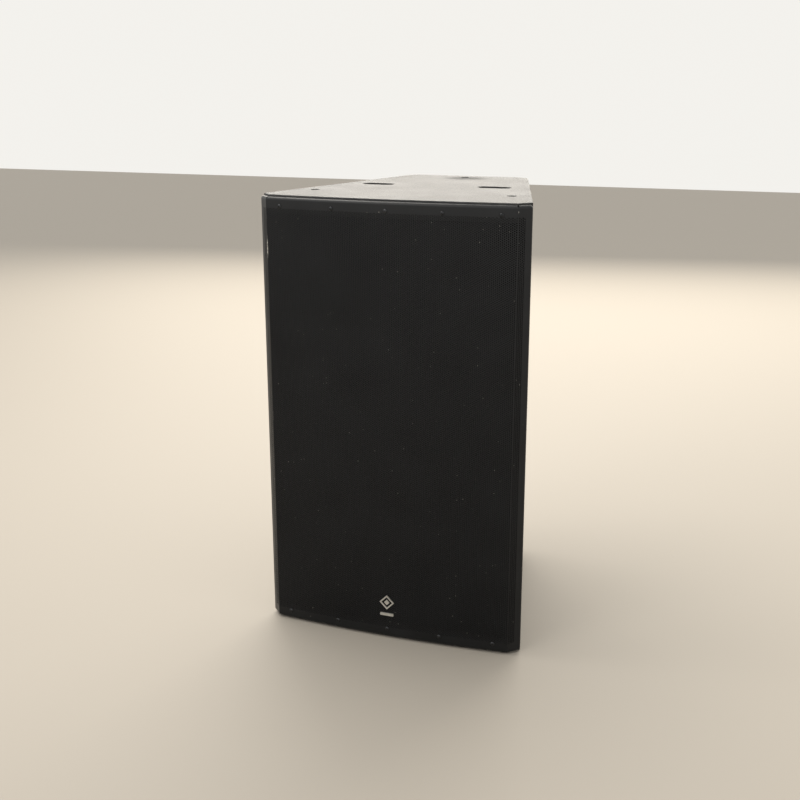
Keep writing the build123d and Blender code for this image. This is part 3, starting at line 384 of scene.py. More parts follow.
# Of the even finishes, the sizes of patch, grain, depth and band are in millimetres
evenLooks = {
    # Birch plywood, sanded and left bare: pale, with long grain and no shine
    "barePlywood": dict(colours=("#c9a878", "#b08d5e"), patch=60, grain=1.2, depth=0.05,
        stretch=(0.12, 1, 1), bands=("Z", 7, 6.0), roughness=(0.6, 0.75)),
    # Glass-filled nylon, injection moulded: an even black with a fine spark-eroded texture
    "mouldedNylon": dict(colours=("#161617", "#1d1d1f"), patch=25, grain=0.35, depth=0.02,
        roughness=(0.38, 0.5)),
    # ABS, moulded off-white: smooth, slightly yellowed
    "mouldedIvory": dict(colours=("#cfcbbd", "#c4bfae"), patch=4, grain=0.3, depth=0.01,
        roughness=(0.35, 0.45)),
    # Zinc-plated steel: cool and bright, with a faint yellow cast where the plating is thin
    "zincPlatedSteel": dict(colours=("#a9a9a4", "#8f8f88"), patch=8, grain=0.5, depth=0.01,
        roughness=(0.3, 0.45), sockets={"Metallic": 1.0}),
    # Steel blackened in an oxide bath: dark and oily, brighter on the worn flats
    "blackenedSteel": dict(colours=("#353638", "#4b4c4e"), patch=5, grain=0.4, depth=0.015,
        roughness=(0.26, 0.4), sockets={"Metallic": 0.95}),
    # Polyester wadding, carded and needled: white fibres in soft clumps that scatter all light
    "polyesterWadding": dict(colours=("#dcdbd6", "#c6c5bf"), patch=16, grain=1.1, depth=0.8,
        stretch=(1, 1, 0.35), roughness=(0.85, 0.95), sockets={"Sheen Weight": 0.3}),
    # Polyurethane foam, open-celled: dead black, because light goes in between the cells and stays there
    "openCellFoam": dict(colours=("#0b0b0c", "#141415"), patch=5, grain=0.9, depth=0.4,
        roughness=(0.9, 1.0)),
    # EPDM tape, closed-celled: charcoal, finely pitted where it was slit
    "closedCellTape": dict(colours=("#171717", "#202020"), patch=10, grain=0.6, depth=0.08,
        roughness=(0.75, 0.88)),
    # Aluminium, cast and satin blasted: pale and even, its shine broken by the blasting
    "blastedAluminium": dict(colours=("#d9d8d4", "#c9c8c3"), patch=6, grain=0.25, depth=0.01,
        roughness=(0.28, 0.4), sockets={"Metallic": 0.9}),
    # Aluminium, die-cast and painted black: a slight orange peel over the cast skin
    "paintedCasting": dict(colours=("#1a1b1d", "#242527"), patch=30, grain=1.1, depth=0.05,
        roughness=(0.45, 0.6)),
    # Strontium ferrite, pressed, sintered and ground: charcoal, matt, with small chips and grinding marks
    "sinteredFerrite": dict(colours=("#3a3a3d", "#4b4a4c"), patch=12, grain=0.8, depth=0.06,
        roughness=(0.6, 0.75)),
    # Paper pulp, felted on a former and dyed black: soft fibres, no shine
    "feltedPaper": dict(colours=("#1c1c1c", "#282726"), patch=18, grain=1.3, depth=0.12,
        roughness=(0.8, 0.92)),
    # Cotton cloth, pleated and treated with damping compound: woven, with a tacky gleam
    "treatedCloth": dict(colours=("#161616", "#222120"), patch=12, grain=0.7, depth=0.09,
        bands=("X", 0.8, 0.4), roughness=(0.5, 0.7)),
    # Cotton cloth, soaked in phenolic resin and corrugated: amber, woven and dry
    "phenolicCloth": dict(colours=("#b98a45", "#a1742f"), patch=14, grain=0.6, depth=0.08,
        bands=("X", 0.7, 0.4), roughness=(0.6, 0.75)),
    # Enamelled copper wire, wound in layers: fine ridges a wire apart, with a varnished shine
    "woundWire": dict(colours=("#b06c3a", "#c8834c"), patch=6, grain=0.4, depth=0.07, bands=("Y", 0.35, 0.0),
        roughness=(0.28, 0.4), sockets={"Metallic": 0.9}),
    # Enamelled copper wire, random wound on a bobbin: thicker ridges that run round the coil
    "bobbinWire": dict(colours=("#a9602f", "#c47a40"), patch=8, grain=0.6, depth=0.15, bands=("Z", 1.2, 0.3),
        roughness=(0.3, 0.42), sockets={"Metallic": 0.85}),
    # ABS, moulded matt black: the horn's grained skin, a little dusty in its throat
    "grainedHorn": dict(colours=("#1b1b1c", "#252526"), patch=45, grain=0.9, depth=0.05,
        roughness=(0.5, 0.66)),
    # Titanium foil, formed and annealed: silvery with a warm tint
    "formedTitanium": dict(colours=("#b4b2ad", "#9b9a96"), patch=10, grain=0.5, depth=0.008,
        roughness=(0.25, 0.38), sockets={"Metallic": 1.0}),
    # Polyimide film: amber and glossy
    "amberFilm": dict(colours=("#b5771c", "#c98a2b"), patch=6, grain=1.0, depth=0.02,
        roughness=(0.15, 0.25)),
    # Glass-fibre board under green solder mask: the weave just shows through the lacquer
    "maskedBoard": dict(colours=("#1d4a2c", "#245a36"), patch=15, grain=0.5, depth=0.02,
        bands=("X", 1.3, 0.2), roughness=(0.3, 0.42)),
    # Polyester film, wound and wrapped in yellow tape: glossy with slight wrinkles
    "wrappedFilm": dict(colours=("#c9a32a", "#b8921f"), patch=10, grain=3.0, depth=0.08,
        roughness=(0.2, 0.32)),
    # Ceramic case filled with cement: chalky white, pitted
    "pouredCement": dict(colours=("#d8d6cf", "#c8c5bc"), patch=6, grain=0.7, depth=0.08,
        roughness=(0.75, 0.88)),
    # Nickel-plated brass: warm, bright and slightly tarnished
    "nickelPlate": dict(colours=("#c5bfae", "#aaa391"), patch=3, grain=0.3, depth=0.006,
        roughness=(0.2, 0.34), sockets={"Metallic": 1.0}),
    # PVC, extruded over stranded wire: soft black with a dull shine
    "extrudedPvc": dict(colours=("#161617", "#1f1f20"), patch=12, grain=0.8, depth=0.02,
        roughness=(0.4, 0.55)),
}
finishes = {name: evenFinish(name, look) for name, look in evenLooks.items()}
finishes["paintedPlywood"] = paintedPlywood("paintedPlywood", paintLook, *(Vector(c) for c in cadBox))
finishes["powderCoatedSteel"] = powderCoatedSteel("powderCoatedSteel", coatLook)
print("materials made:", len(finishes))


# Which finish each of the record's material slots shows
slotFinishes = {
    "painted_plywood": "paintedPlywood", "bare_plywood": "barePlywood", "black_plastic": "mouldedNylon",
    "switch_plastic": "mouldedIvory", "plated_steel": "zincPlatedSteel", "wadding": "polyesterWadding",
    "grille_paint": "powderCoatedSteel", "foam": "openCellFoam", "gasket_foam": "closedCellTape",
    "black_fasteners": "blackenedSteel", "badge_metal": "blastedAluminium", "cone_paper": "feltedPaper",
    "cast_aluminium": "paintedCasting", "ferrite": "sinteredFerrite", "surround_cloth": "treatedCloth",
    "spider_cloth": "phenolicCloth", "coil_wire": "woundWire", "horn_plastic": "grainedHorn",
    "diaphragm_metal": "formedTitanium", "suspension_film": "amberFilm", "circuit_board": "maskedBoard",
    "copper_wire": "bobbinWire", "capacitor_film": "wrappedFilm", "cement": "pouredCement",
    "dish_steel": "powderCoatedSteel", "nickel_plate": "nickelPlate", "lead_sheath": "extrudedPvc",
}
nodeFinishes = {"top_rigging_inserts": "blackenedSteel", "bottom_rigging_inserts": "blackenedSteel",
                "rear_rigging_insert": "blackenedSteel"}
nodeSlots = {part["node"]: part["material_slot"] for part in frame["record"]["subparts"]}
for node, body in frame["nodes"].items():
    finish = finishes[nodeFinishes.get(node, slotFinishes[nodeSlots[node]])]
    for held in body.material_slots:
        held.material = finish
print("CAD nodes finished:", len(nodeSlots))


# Mesh work shared by the pieces

def weldedShape(mesh):
    shape = bmesh.new()
    shape.from_mesh(mesh)
    bmesh.ops.remove_doubles(shape, verts=shape.verts, dist=weldDistance)
    return shape


def keepShape(shape, mesh):
    shape.to_mesh(mesh)
    shape.free()


def weldedCopy(node, name):
    mesh = frame["nodes"][node].data.copy()
    normals = mesh.attributes.get("custom_normal")
    if normals:
        mesh.attributes.remove(normals)
    keepShape(weldedShape(mesh), mesh)
    return addObject(name, mesh)


def applyModifiers(piece):
    mesh = bpy.data.meshes.new_from_object(piece.evaluated_get(bpy.context.evaluated_depsgraph_get()))
    piece.modifiers.clear()
    piece.data = mesh


def smoothExceptSharp(piece, degrees):
    piece.data.shade_smooth()
    piece.data.set_sharp_from_angle(angle=math.radians(degrees))


# The same, with each normal leaning towards the larger of the faces it rounds off
def smoothByArea(piece, degrees):
    smoothExceptSharp(piece, degrees)
    even = piece.modifiers.new("even", "WEIGHTED_NORMAL")
    even.keep_sharp = True
    applyModifiers(piece)


# Gives a piece its finish, its slot's unless one is named, puts it under its body, and hides the nodes it
# stands in for
def settle(piece, body, slot, *nodes, finish=None):
    piece.data.materials.clear()
    piece.data.materials.append(finishes[finish or slotFinishes[slot]])
    for face in piece.data.polygons:
        face.material_index = 0
    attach(piece, body)
    if nodes:
        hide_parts(*nodes)


# The low and high corners of each separate solid in a node
def solidsOf(node):
    shape = weldedShape(frame["nodes"][node].data)
    left, found = set(shape.verts), []
    while left:
        group, edge = [], [left.pop()]
        while edge:
            corner = edge.pop()
            group.append(corner.co.copy())
            for link in corner.link_edges:
                other = link.other_vert(corner)
                if other in left:
                    left.remove(other)
                    edge.append(other)
        found.append((Vector(min(c[i] for c in group) for i in range(3)),
                      Vector(max(c[i] for c in group) for i in range(3))))
    shape.free()
    return sorted(found, key=lambda pair: tuple(round(v, 5) for v in pair[0]))


# Geometry Nodes set-up: a tree with named inputs, and an object that grows its shape from one

def newTree(name, inputs):
    tree = bpy.data.node_groups.new(name, "GeometryNodeTree")
    for label, kind in inputs.items():
        tree.interface.new_socket(label, in_out="INPUT", socket_type="NodeSocket" + kind)
    tree.interface.new_socket("Geometry", in_out="OUTPUT", socket_type="NodeSocketGeometry")
    return tree, tree.nodes.new("NodeGroupInput").outputs


def grow(name, tree, values, mesh=None):
    piece = addObject(name, mesh or bpy.data.meshes.new(name))
    modifier = piece.modifiers.new("shape", "NODES")
    modifier.node_group = tree
    for socket in tree.interface.items_tree:
        if socket.in_out == "INPUT" and socket.name in values:
            modifier[socket.identifier] = values[socket.name]
    applyModifiers(piece)
    return piece


# Grille: sheets of holes in staggered columns, each bent along a path, and the folded pan round them

grilleLook = {
    "pitch": 3.5 * mm,
    "holeDiameter": 2.5 * mm,
    "holeSides": 8,
    "rows": 200,
    "thickness": 1.2 * mm,
    "bottom": 20 * mm,
    "frontRadius": 2085.2 * mm,
    "frontCentre": 1860.2 * mm,
    "crease": (208 * mm, -214.6 * mm),
    "corner": (225.5 * mm, -197 * mm),
    "creaseMargin": 0.72 * mm,
    "frontColumns": (20, 20, 20, 20, 20, 20, 17),
    "facetColumns": 4,
    "material": "powderCoatedSteel",
    "weld": 0.02 * mm,
    "pathSteps": 256,
}


def perforatedTree():
    tree, given = newTree("perforatedSheet", {
        "Geometry": "Geometry", "Path": "Object", "Start": "Float", "Even Columns": "Int",
        "Odd Columns": "Int", "Rows": "Int", "Pitch": "Float", "Hole Diameter": "Float", "Hole Sides": "Int",
        "Sheet Thickness": "Float", "Bottom": "Float", "Weld": "Float", "Material": "Material"})
    pitch = given["Pitch"]
    wide, half, radius, inward = (
        addNode(tree, "ShaderNodeMath", {"operation": "MULTIPLY"}, {0: size, 1: times}).outputs[0]
        for size, times in ((pitch, columnWidth), (pitch, 0.5), (given["Hole Diameter"], 0.5),
                            (given["Sheet Thickness"], -1.0)))

    # One cell: a rectangle with a corner halfway up each side, where the next column's cells meet it
    grid = addNode(tree, "GeometryNodeMeshGrid", None, {
        "Size X": wide, "Size Y": pitch, "Vertices X": 2, "Vertices Y": 3}).outputs["Mesh"]
    neighbours = addNode(tree, "GeometryNodeInputMeshEdgeNeighbors").outputs[0]
    outer = addNode(tree, "FunctionNodeCompare", {"data_type": "INT", "operation": "EQUAL"}, {
        2: neighbours, 3: 1}).outputs[0]
    outline = addNode(tree, "GeometryNodeMeshToCurve", None, {"Mesh": grid, "Selection": outer}).outputs[0]
    hole = addNode(tree, "GeometryNodeCurvePrimitiveCircle", {"mode": "RADIUS"}, {
        "Resolution": given["Hole Sides"], "Radius": radius}).outputs[0]
    curves = addNode(tree, "GeometryNodeJoinGeometry")
    for curve in (outline, hole):
        tree.links.new(curve, curves.inputs[0])
    cell = addNode(tree, "GeometryNodeFillCurve", {"mode": "TRIANGLES"}, {
        "Curve": curves.outputs[0]}).outputs[0]
    blank = addNode(tree, "GeometryNodeMeshGrid", None, {
        "Size X": wide, "Size Y": half, "Vertices X": 2, "Vertices Y": 2}).outputs["Mesh"]

    # Columns of cells: start, step and number of each, in pitches; an odd column has a blank at both ends
    fewer = addNode(tree, "ShaderNodeMath", {"operation": "SUBTRACT"}, {0: given["Rows"], 1: 1}).outputs[0]
    apart = addNode(tree, "ShaderNodeMath", {"operation": "SUBTRACT"}, {0: given["Rows"], 1: 0.5}).outputs[0]
    blankStep = addNode(tree, "ShaderNodeCombineXYZ", None, {1: apart}).outputs[0]
    middle = columnWidth / 2
    joined = addNode(tree, "GeometryNodeJoinGeometry")
    for item, start, step, number, columns in (
            (cell, (middle, 0.5, 0), (0, 1, 0), given["Rows"], given["Even Columns"]),
            (cell, (3 * middle, 1, 0), (0, 1, 0), fewer, given["Odd Columns"]),
            (blank, (3 * middle, 0.25, 0), blankStep, 2, given["Odd Columns"])):
        begin, rise, across = (
            addNode(tree, "ShaderNodeVectorMath", {"operation": "SCALE"}, {0: way, "Scale": pitch}).outputs[0]
            for way in (start, step, (4 * middle, 0, 0)))
        spots = addNode(tree, "GeometryNodeMeshLine", {"mode": "OFFSET"}, {
            "Count": number, "Start Location": begin, "Offset": rise}).outputs[0]
        column = addNode(tree, "GeometryNodeInstanceOnPoints", None, {
            "Points": spots, "Instance": item}).outputs[0]
        row = addNode(tree, "GeometryNodeMeshLine", {"mode": "OFFSET"}, {
            "Count": columns, "Offset": across}).outputs[0]
        sheet = addNode(tree, "GeometryNodeInstanceOnPoints", None, {
            "Points": row, "Instance": column}).outputs[0]
        tree.links.new(sheet, joined.inputs[0])
    flat = addNode(tree, "GeometryNodeRealizeInstances", None, {0: joined.outputs[0]}).outputs[0]
    welded = addNode(tree, "GeometryNodeMergeByDistance", None, {
        "Geometry": flat, "Distance": given["Weld"]}).outputs[0]

    # Stand the sheet up along the path and give it its thickness
    spot = addNode(tree, "ShaderNodeSeparateXYZ", None, {
        0: addNode(tree, "GeometryNodeInputPosition").outputs[0]}).outputs
    path = addNode(tree, "GeometryNodeObjectInfo", None, {"Object": given["Path"]}).outputs["Geometry"]
    along = addNode(tree, "ShaderNodeMath", {"operation": "ADD"}, {0: spot[0], 1: given["Start"]}).outputs[0]
    sample = addNode(tree, "GeometryNodeSampleCurve", {"mode": "LENGTH", "use_all_curves": False}, {
        "Curves": path, "Length": along}).outputs["Position"]
    onPath = addNode(tree, "ShaderNodeSeparateXYZ", None, {0: sample}).outputs
    up = addNode(tree, "ShaderNodeMath", {"operation": "ADD"}, {0: spot[1], 1: given["Bottom"]}).outputs[0]
    there = addNode(tree, "ShaderNodeCombineXYZ", None, {0: onPath[0], 1: onPath[1], 2: up}).outputs[0]
    skin = addNode(tree, "GeometryNodeSetPosition", None, {"Geometry": welded, "Position": there}).outputs[0]
    deep = addNode(tree, "GeometryNodeExtrudeMesh", {"mode": "FACES"}, {
        "Mesh": skin, "Offset Scale": inward, "Individual": False}).outputs[0]
    inside = addNode(tree, "GeometryNodeFlipFaces", None, {0: deep}).outputs[0]
    shell = addNode(tree, "GeometryNodeJoinGeometry")
    for side in (skin, inside):
        tree.links.new(side, shell.inputs[0])
    closed = addNode(tree, "GeometryNodeMergeByDistance", None, {
        "Geometry": shell.outputs[0], "Distance": given["Weld"]}).outputs[0]
    real = addNode(tree, "GeometryNodeRealizeInstances", None, {0: closed}).outputs[0]
    made = addNode(tree, "GeometryNodeSetMaterial", None, {
        "Geometry": real, "Material": given["Material"]}).outputs[0]
    tree.links.new(made, tree.nodes.new("NodeGroupOutput").inputs[0])
    return tree


def bendPath(name, points):
    curve = bpy.data.curves.new(name, "CURVE")
    curve.dimensions = "3D"
    line = curve.splines.new("POLY")
    line.points.add(len(points) - 1)
    for spot, (x, y) in zip(line.points, points):
        spot.co = (x, y, 0, 1)
    return addObject(name, curve)


def makeGrilleSheets(look):
    tree = perforatedTree()
    radius, centre = look["frontRadius"], look["frontCentre"]
    column = look["pitch"] * columnWidth
    reach = math.asin(look["crease"][0] / radius)
    steps = look["pathSteps"]
    turns = [reach * (2 * i / steps - 1) for i in range(steps + 1)]
    front = bendPath("frontPath", [(radius * math.sin(a), centre - radius * math.cos(a)) for a in turns])
    (creaseX, creaseY), (cornerX, cornerY) = look["crease"], look["corner"]
    right = bendPath("rightPath", [(creaseX, creaseY), (cornerX, cornerY)])
    left = bendPath("leftPath", [(-cornerX, cornerY), (-creaseX, creaseY)])
    facet = math.dist(look["crease"], look["corner"])
    places, start = [], look["creaseMargin"]
    for number, columns in enumerate(look["frontColumns"]):
        places.append((f"grilleFront{number + 1}", front, start, columns))
        start += columns * column
    places.append(("grilleFacetRight", right, look["creaseMargin"], look["facetColumns"]))
    places.append(("grilleFacetLeft", left, facet - look["creaseMargin"] - look["facetColumns"] * column,
                   look["facetColumns"]))
    for name, path, start, columns in places:
        sheet = grow(name, tree, {
            "Path": path, "Start": start, "Even Columns": (columns + 1) // 2, "Odd Columns": columns // 2,
            "Rows": look["rows"], "Pitch": look["pitch"], "Hole Diameter": look["holeDiameter"],
            "Hole Sides": look["holeSides"], "Sheet Thickness": look["thickness"],
            "Bottom": look["bottom"], "Weld": look["weld"], "Material": finishes[look["material"]]})
        settle(sheet, "cabinet", "grille_paint", "grille")
    for path in (front, right, left):
        bpy.data.objects.remove(path)


# The pan around the sheets: a grid of places along the outline by steps of its profile, twice, for the outer
# and the inner skin, with walls round every gap left in it
rimLook = {
    "sideRear": (112 * mm, 227 * mm),  # where the slanted side's line ends
    "creaseRound": 1.8 * mm,
    "bend": 5 * mm,
    "returnDepth": 6 * mm,
    "bottom": 3 * mm,
    "top": 737 * mm,
    "notch": 1.5 * mm,  # half the width of the slot that parts the returns at a crease
    "bendSteps": (0, 18, 37, 54, 72, 90),
    "frontSteps": 28,
    "smoothBelow": 32,
    "tick": 0.01 * mm,  # between stations that share a place on the outline
    "weld": 0.004 * mm,
}


def crossing(firstPoint, firstWay, secondPoint, secondWay):
    turn = firstWay.x * secondWay.y - firstWay.y * secondWay.x
    gap = secondPoint - firstPoint
    return firstPoint + firstWay * ((gap.x * secondWay.y - gap.y * secondWay.x) / turn)


# Stations along the right half of the outline, each a function from the inset to a place in plan
def rimStations(look, grille):
    crease, corner = Vector(grille["crease"]), Vector(grille["corner"])
    centre, radius = Vector((0, grille["frontCentre"])), grille["frontRadius"]
    facetWay = (corner - crease).normalized()
    facetOut = Vector((facetWay.y, -facetWay.x))
    sideWay = (Vector(look["sideRear"]) - corner).normalized()
    sideOut = Vector((sideWay.y, -sideWay.x))
    creaseTurn = math.asin(crease.x / radius)
    frontOut = Vector((math.sin(creaseTurn), -math.cos(creaseTurn)))
    frontWay = Vector((math.cos(creaseTurn), math.sin(creaseTurn)))
    column = grille["pitch"] * columnWidth
    window = grille["creaseMargin"], grille["creaseMargin"] + grille["facetColumns"] * column

    facet = (corner - crease).length
    creaseOut = (frontOut + facetOut).normalized()
    cornerTan = math.tan(math.acos(facetOut.dot(sideOut)) / 2)

    def onFront(length):
        turn = length / radius
        return lambda d: centre + Vector((math.sin(turn), -math.cos(turn))) * (radius - d)

    # Beside a crease the edges run in parallel to the line that halves it, so the returns stay apart
    def besideCrease(start, lineOut):
        return lambda d: start - creaseOut * (d / creaseOut.dot(lineOut))

    def onFacet(length):
        return lambda d: crease + facetWay * min(length, facet - d * cornerTan) - facetOut * d

    def rounded(firstOut, firstWay, secondOut, secondWay, apex, size, share):
        inner = crossing(apex - firstOut * size, firstWay, apex - secondOut * size, secondWay)
        way = firstOut.slerp(secondOut, share)
        return lambda d: inner + way * (size - d) if d < size else crossing(
            apex - firstOut * d, firstWay, apex - secondOut * d, secondWay)

    whole = creaseTurn * radius
    halfField = sum(grille["frontColumns"]) * column / 2
    made = [(halfField * i / look["frontSteps"], onFront(halfField * i / look["frontSteps"]))
            for i in range(look["frontSteps"])]
    made += [(length, besideCrease(onFront(length)(0), frontOut))
             for length in (whole - look["notch"], halfField)]
    atCrease = frontOut, frontWay, facetOut, facetWay, crease, look["creaseRound"]
    made += [(whole + look["tick"] * i, rounded(*atCrease, i / 3)) for i in range(4)]
    made += [(whole + s, besideCrease(crease + facetWay * s, facetOut)) for s in (window[0], look["notch"])]
    made += [(whole + s, onFacet(s)) for s in (window[1], facet - look["bend"] * cornerTan)]
    atCorner = facetOut, facetWay, sideOut, sideWay, corner, look["bend"]
    made += [(whole + facet + look["tick"] * i, rounded(*atCorner, i / 5)) for i in range(1, 6)]
    made.append((whole + facet + look["returnDepth"], lambda d: crossing(
        corner - facetOut * look["returnDepth"], facetWay, corner - sideOut * d, sideWay)))
    return made, whole, halfField, window


def rimProfile(look, grille, skin):
    fields = grille["bottom"], grille["bottom"] + grille["rows"] * grille["pitch"]
    bend, low, high = look["bend"], look["bottom"], look["top"]
    turns = [math.radians(a) for a in look["bendSteps"]]
    curl = [(bend - (bend - skin) * math.cos(a), bend - (bend - skin) * math.sin(a)) for a in turns]
    lower = [(inset, low + rise) for inset, rise in reversed(curl)]
    upper = [(inset, high - rise) for inset, rise in curl]
    return ([(look["returnDepth"], low + skin)] + lower + [(skin, fields[0]), (skin, fields[1])] + upper
            + [(look["returnDepth"], high - skin)])


def makeGrilleRim(look, grille):
    stations, whole, halfField, window = rimStations(look, grille)
    profiles = [rimProfile(look, grille, skin) for skin in (0, grille["thickness"])]
    steps = len(look["bendSteps"])
    field = steps + 1  # the profile step that crosses the perforated field
    segments = len(profiles[0]) - 1
    notched = [j for j in range(segments) if min(j, segments - 1 - j) < steps - 2]
    fine = 1e-6

    def present(i, j):
        start, end = stations[i][0] - whole, stations[i + 1][0] - whole
        inFront = end <= halfField - whole + fine
        inFacet = start >= window[0] - fine and end <= window[1] + fine
        inNotch = start >= -look["notch"] - fine and end <= look["notch"] + fine
        return not (j == field and (inFront or inFacet)) and not (j in notched and inNotch)

    shape = bmesh.new()
    for side in (1, -1):
        spots = {}
        for skin, profile in enumerate(profiles):
            for i, (_, place) in enumerate(stations):
                for j, (inset, height) in enumerate(profile):
                    flat = place(inset)
                    spots[skin, i, j] = shape.verts.new((side * flat.x, flat.y, height))
        cells = {(i, j) for i in range(len(stations) - 1) for j in range(segments) if present(i, j)}
        for i, j in sorted(cells):
            ring = [(i, j), (i + 1, j), (i + 1, j + 1), (i, j + 1)]
            quads = [[spots[(0, *c)] for c in ring], [spots[(1, *c)] for c in reversed(ring)]]
            for k, beyond in enumerate(((i, j - 1), (i + 1, j), (i, j + 1), (i - 1, j))):
                if beyond not in cells and beyond[0] >= 0:
                    first, second = ring[k], ring[(k + 1) % 4]
                    ends = (0, *second), (0, *first), (1, *first), (1, *second)
                    quads.append([spots[end] for end in ends])
            for quad in quads:
                shape.faces.new(quad if side > 0 else list(reversed(quad)))
    bmesh.ops.remove_doubles(shape, verts=shape.verts, dist=look["weld"])
    bmesh.ops.dissolve_degenerate(shape, dist=look["weld"] / 2, edges=shape.edges)
    openEdges = sum(1 for e in shape.edges if len(e.link_faces) != 2)
    print("rim volume mm3", round(shape.calc_volume(signed=True) / mm ** 3), "open edges", openEdges)
    mesh = bpy.data.meshes.new("grilleRim")
    keepShape(shape, mesh)
    rim = addObject("grilleRim", mesh)
    smoothByArea(rim, look["smoothBelow"])
    settle(rim, "cabinet", "grille_paint", "grille")


makeGrilleSheets(grilleLook)
print("perforated sheets grown")
makeGrilleRim(rimLook, grilleLook)
print("grille rim made")


# Small rigid parts, the plain diamond and bar of the badge among them

softenLimits = {"flatBelow": 0.5, "cornerAbove": 50, "smoothBelow": 40, "segments": 2}  # angles in degrees


# A bevelled stand-in for a small rigid node, in the same place and size
def soften(look, node, name, width, body, finish):
    piece = weldedCopy(node, name)
    shape = bmesh.new()
    shape.from_mesh(piece.data)
    flat = math.radians(look["flatBelow"])
    bmesh.ops.dissolve_limit(shape, angle_limit=flat, verts=shape.verts, edges=shape.edges)
    keepShape(shape, piece.data)
    edge = piece.modifiers.new("softEdge", "BEVEL")
    edge.width = width
    edge.segments = look["segments"]
    edge.limit_method = "ANGLE"
    edge.angle_limit = math.radians(look["cornerAbove"])
    applyModifiers(piece)
    smoothByArea(piece, look["smoothBelow"])
    settle(piece, body, nodeSlots[node], node, finish=finish)


softenLook = {
    # node: piece, edge radius, body, finish where it isn't the slot's own
    "badge": ("badgeFace", 0.35 * mm, "cabinet", None),
    "terminal_strip": ("terminalBlock", 0.25 * mm, "cabinet", None),
    "terminal_screws": ("terminalScrewHeads", 0.15 * mm, "cabinet", None),
    "mode_switch_body": ("switchBody", 0.3 * mm, "cabinet", None),
    "mode_switch_knob": ("switchKnob", 0.25 * mm, "mode_switch", None),
}
for node, (name, width, body, finish) in softenLook.items():
    soften(softenLimits, node, name, width, body, finish)
print("small parts softened:", len(softenLook))


# Screws and bolts: one turned and cut fastener of each kind, grown on its own set of places

fastenerLook = {
    # node: piece, head outline and drive, sizes of head and shank, the way the head faces
    "grille_screws": ("grilleScrews", "truss", "cross", 3.5 * mm, 1.8 * mm, 1.75 * mm, (0, -1, 0)),
    "horn_screws": ("hornScrews", "truss", "cross", 4.0 * mm, 2.5 * mm, 2.0 * mm, (0, -1, 0)),
    "woofer_bolts": ("wooferBolts", "cap", "socket", 5.0 * mm, 4.0 * mm, 3.0 * mm, (0, -1, 0)),
    "driver_bolts": ("driverBolts", "cap", "socket", 4.2 * mm, 4.0 * mm, 2.5 * mm, (0, -1, 0)),
    "input_screws": ("inputScrews", "countersunk", "cross", 3.4 * mm, 2.0 * mm, 1.75 * mm, (0, 1, 0)),
    "crossover_screws": ("boardScrews", "truss", "cross", 2.8 * mm, 2.2 * mm, 1.5 * mm, (0, 0, 1)),
}
# Radius in head radii and depth in head heights, from the middle of the head to its underside
headOutlines = {
    "truss": ((0.35, 0.03), (0.7, 0.2), (0.93, 0.55), (1, 0.85), (1, 1)),
    "cap": ((0.9, 0), (0.98, 0.03), (1, 0.1), (1, 0.97), (0.97, 1)),
    "countersunk": ((0.96, 0), (1, 0.06), (1, 0.12)),
}
headSides = 24
# The drive in head radii and head heights, the tip in shank radii, the smooth edges in degrees
driveLook = {"socketRadius": 0.55, "socketDepth": 1.2, "crossArm": 0.62, "crossWeb": 0.15, "crossDepth": 0.7,
             "taper": 0.7, "above": 0.1, "tipRadius": 0.3, "smoothBelow": 35}


def turnedFastener(look, name, outline, drive, headRadius, headHeight, shankRadius, length):
    rings = [(r * headRadius, -z * headHeight) for r, z in headOutlines[outline]]
    rings += [(shankRadius, -headHeight), (shankRadius, -length + shankRadius),
              (shankRadius * look["tipRadius"], -length)]
    turns = [2 * math.pi * i / headSides for i in range(headSides)]
    shape = bmesh.new()
    loops = [[shape.verts.new((r * math.cos(a), r * math.sin(a), z)) for a in turns] for r, z in rings]
    shape.faces.new(loops[0])
    shape.faces.new(list(reversed(loops[-1])))
    for upper, lower in zip(loops, loops[1:]):
        for i in range(headSides):
            shape.faces.new((upper[i - 1], lower[i - 1], lower[i], upper[i]))
    bmesh.ops.recalc_face_normals(shape, faces=shape.faces)
    body = addObject(name, bpy.data.meshes.new(name))
    keepShape(shape, body.data)
    tool = bmesh.new()
    if drive == "socket":
        across = headRadius * look["socketRadius"]
        bmesh.ops.create_cone(tool, cap_ends=True, segments=6, radius1=across, radius2=across,
                              depth=headHeight * look["socketDepth"])
    else:
        arm, web = headRadius * look["crossArm"], headRadius * look["crossWeb"]
        corners = [(arm, web), (web, web), (web, arm)]
        for _ in range(9):  # the other three arms, each a quarter turn on
            x, y = corners[-3]
            corners.append((-y, x))
        rows = [[tool.verts.new((x * taper, y * taper, z * headHeight)) for x, y in corners]
                for taper, z in ((look["taper"], -look["crossDepth"]), (1, look["above"]))]
        for row in rows:
            tool.faces.new(row)
        for i in range(len(corners)):
            tool.faces.new((rows[0][i - 1], rows[0][i], rows[1][i], rows[1][i - 1]))
        bmesh.ops.recalc_face_normals(tool, faces=tool.faces)
    cutter = addObject("driveTool", bpy.data.meshes.new("driveTool"))
    keepShape(tool, cutter.data)
    cut = body.modifiers.new("drive", "BOOLEAN")
    cut.operation = "DIFFERENCE"
    cut.solver = "EXACT"
    cut.object = cutter
    applyModifiers(body)
    bpy.data.objects.remove(cutter)
    smoothExceptSharp(body, look["smoothBelow"])
    return body


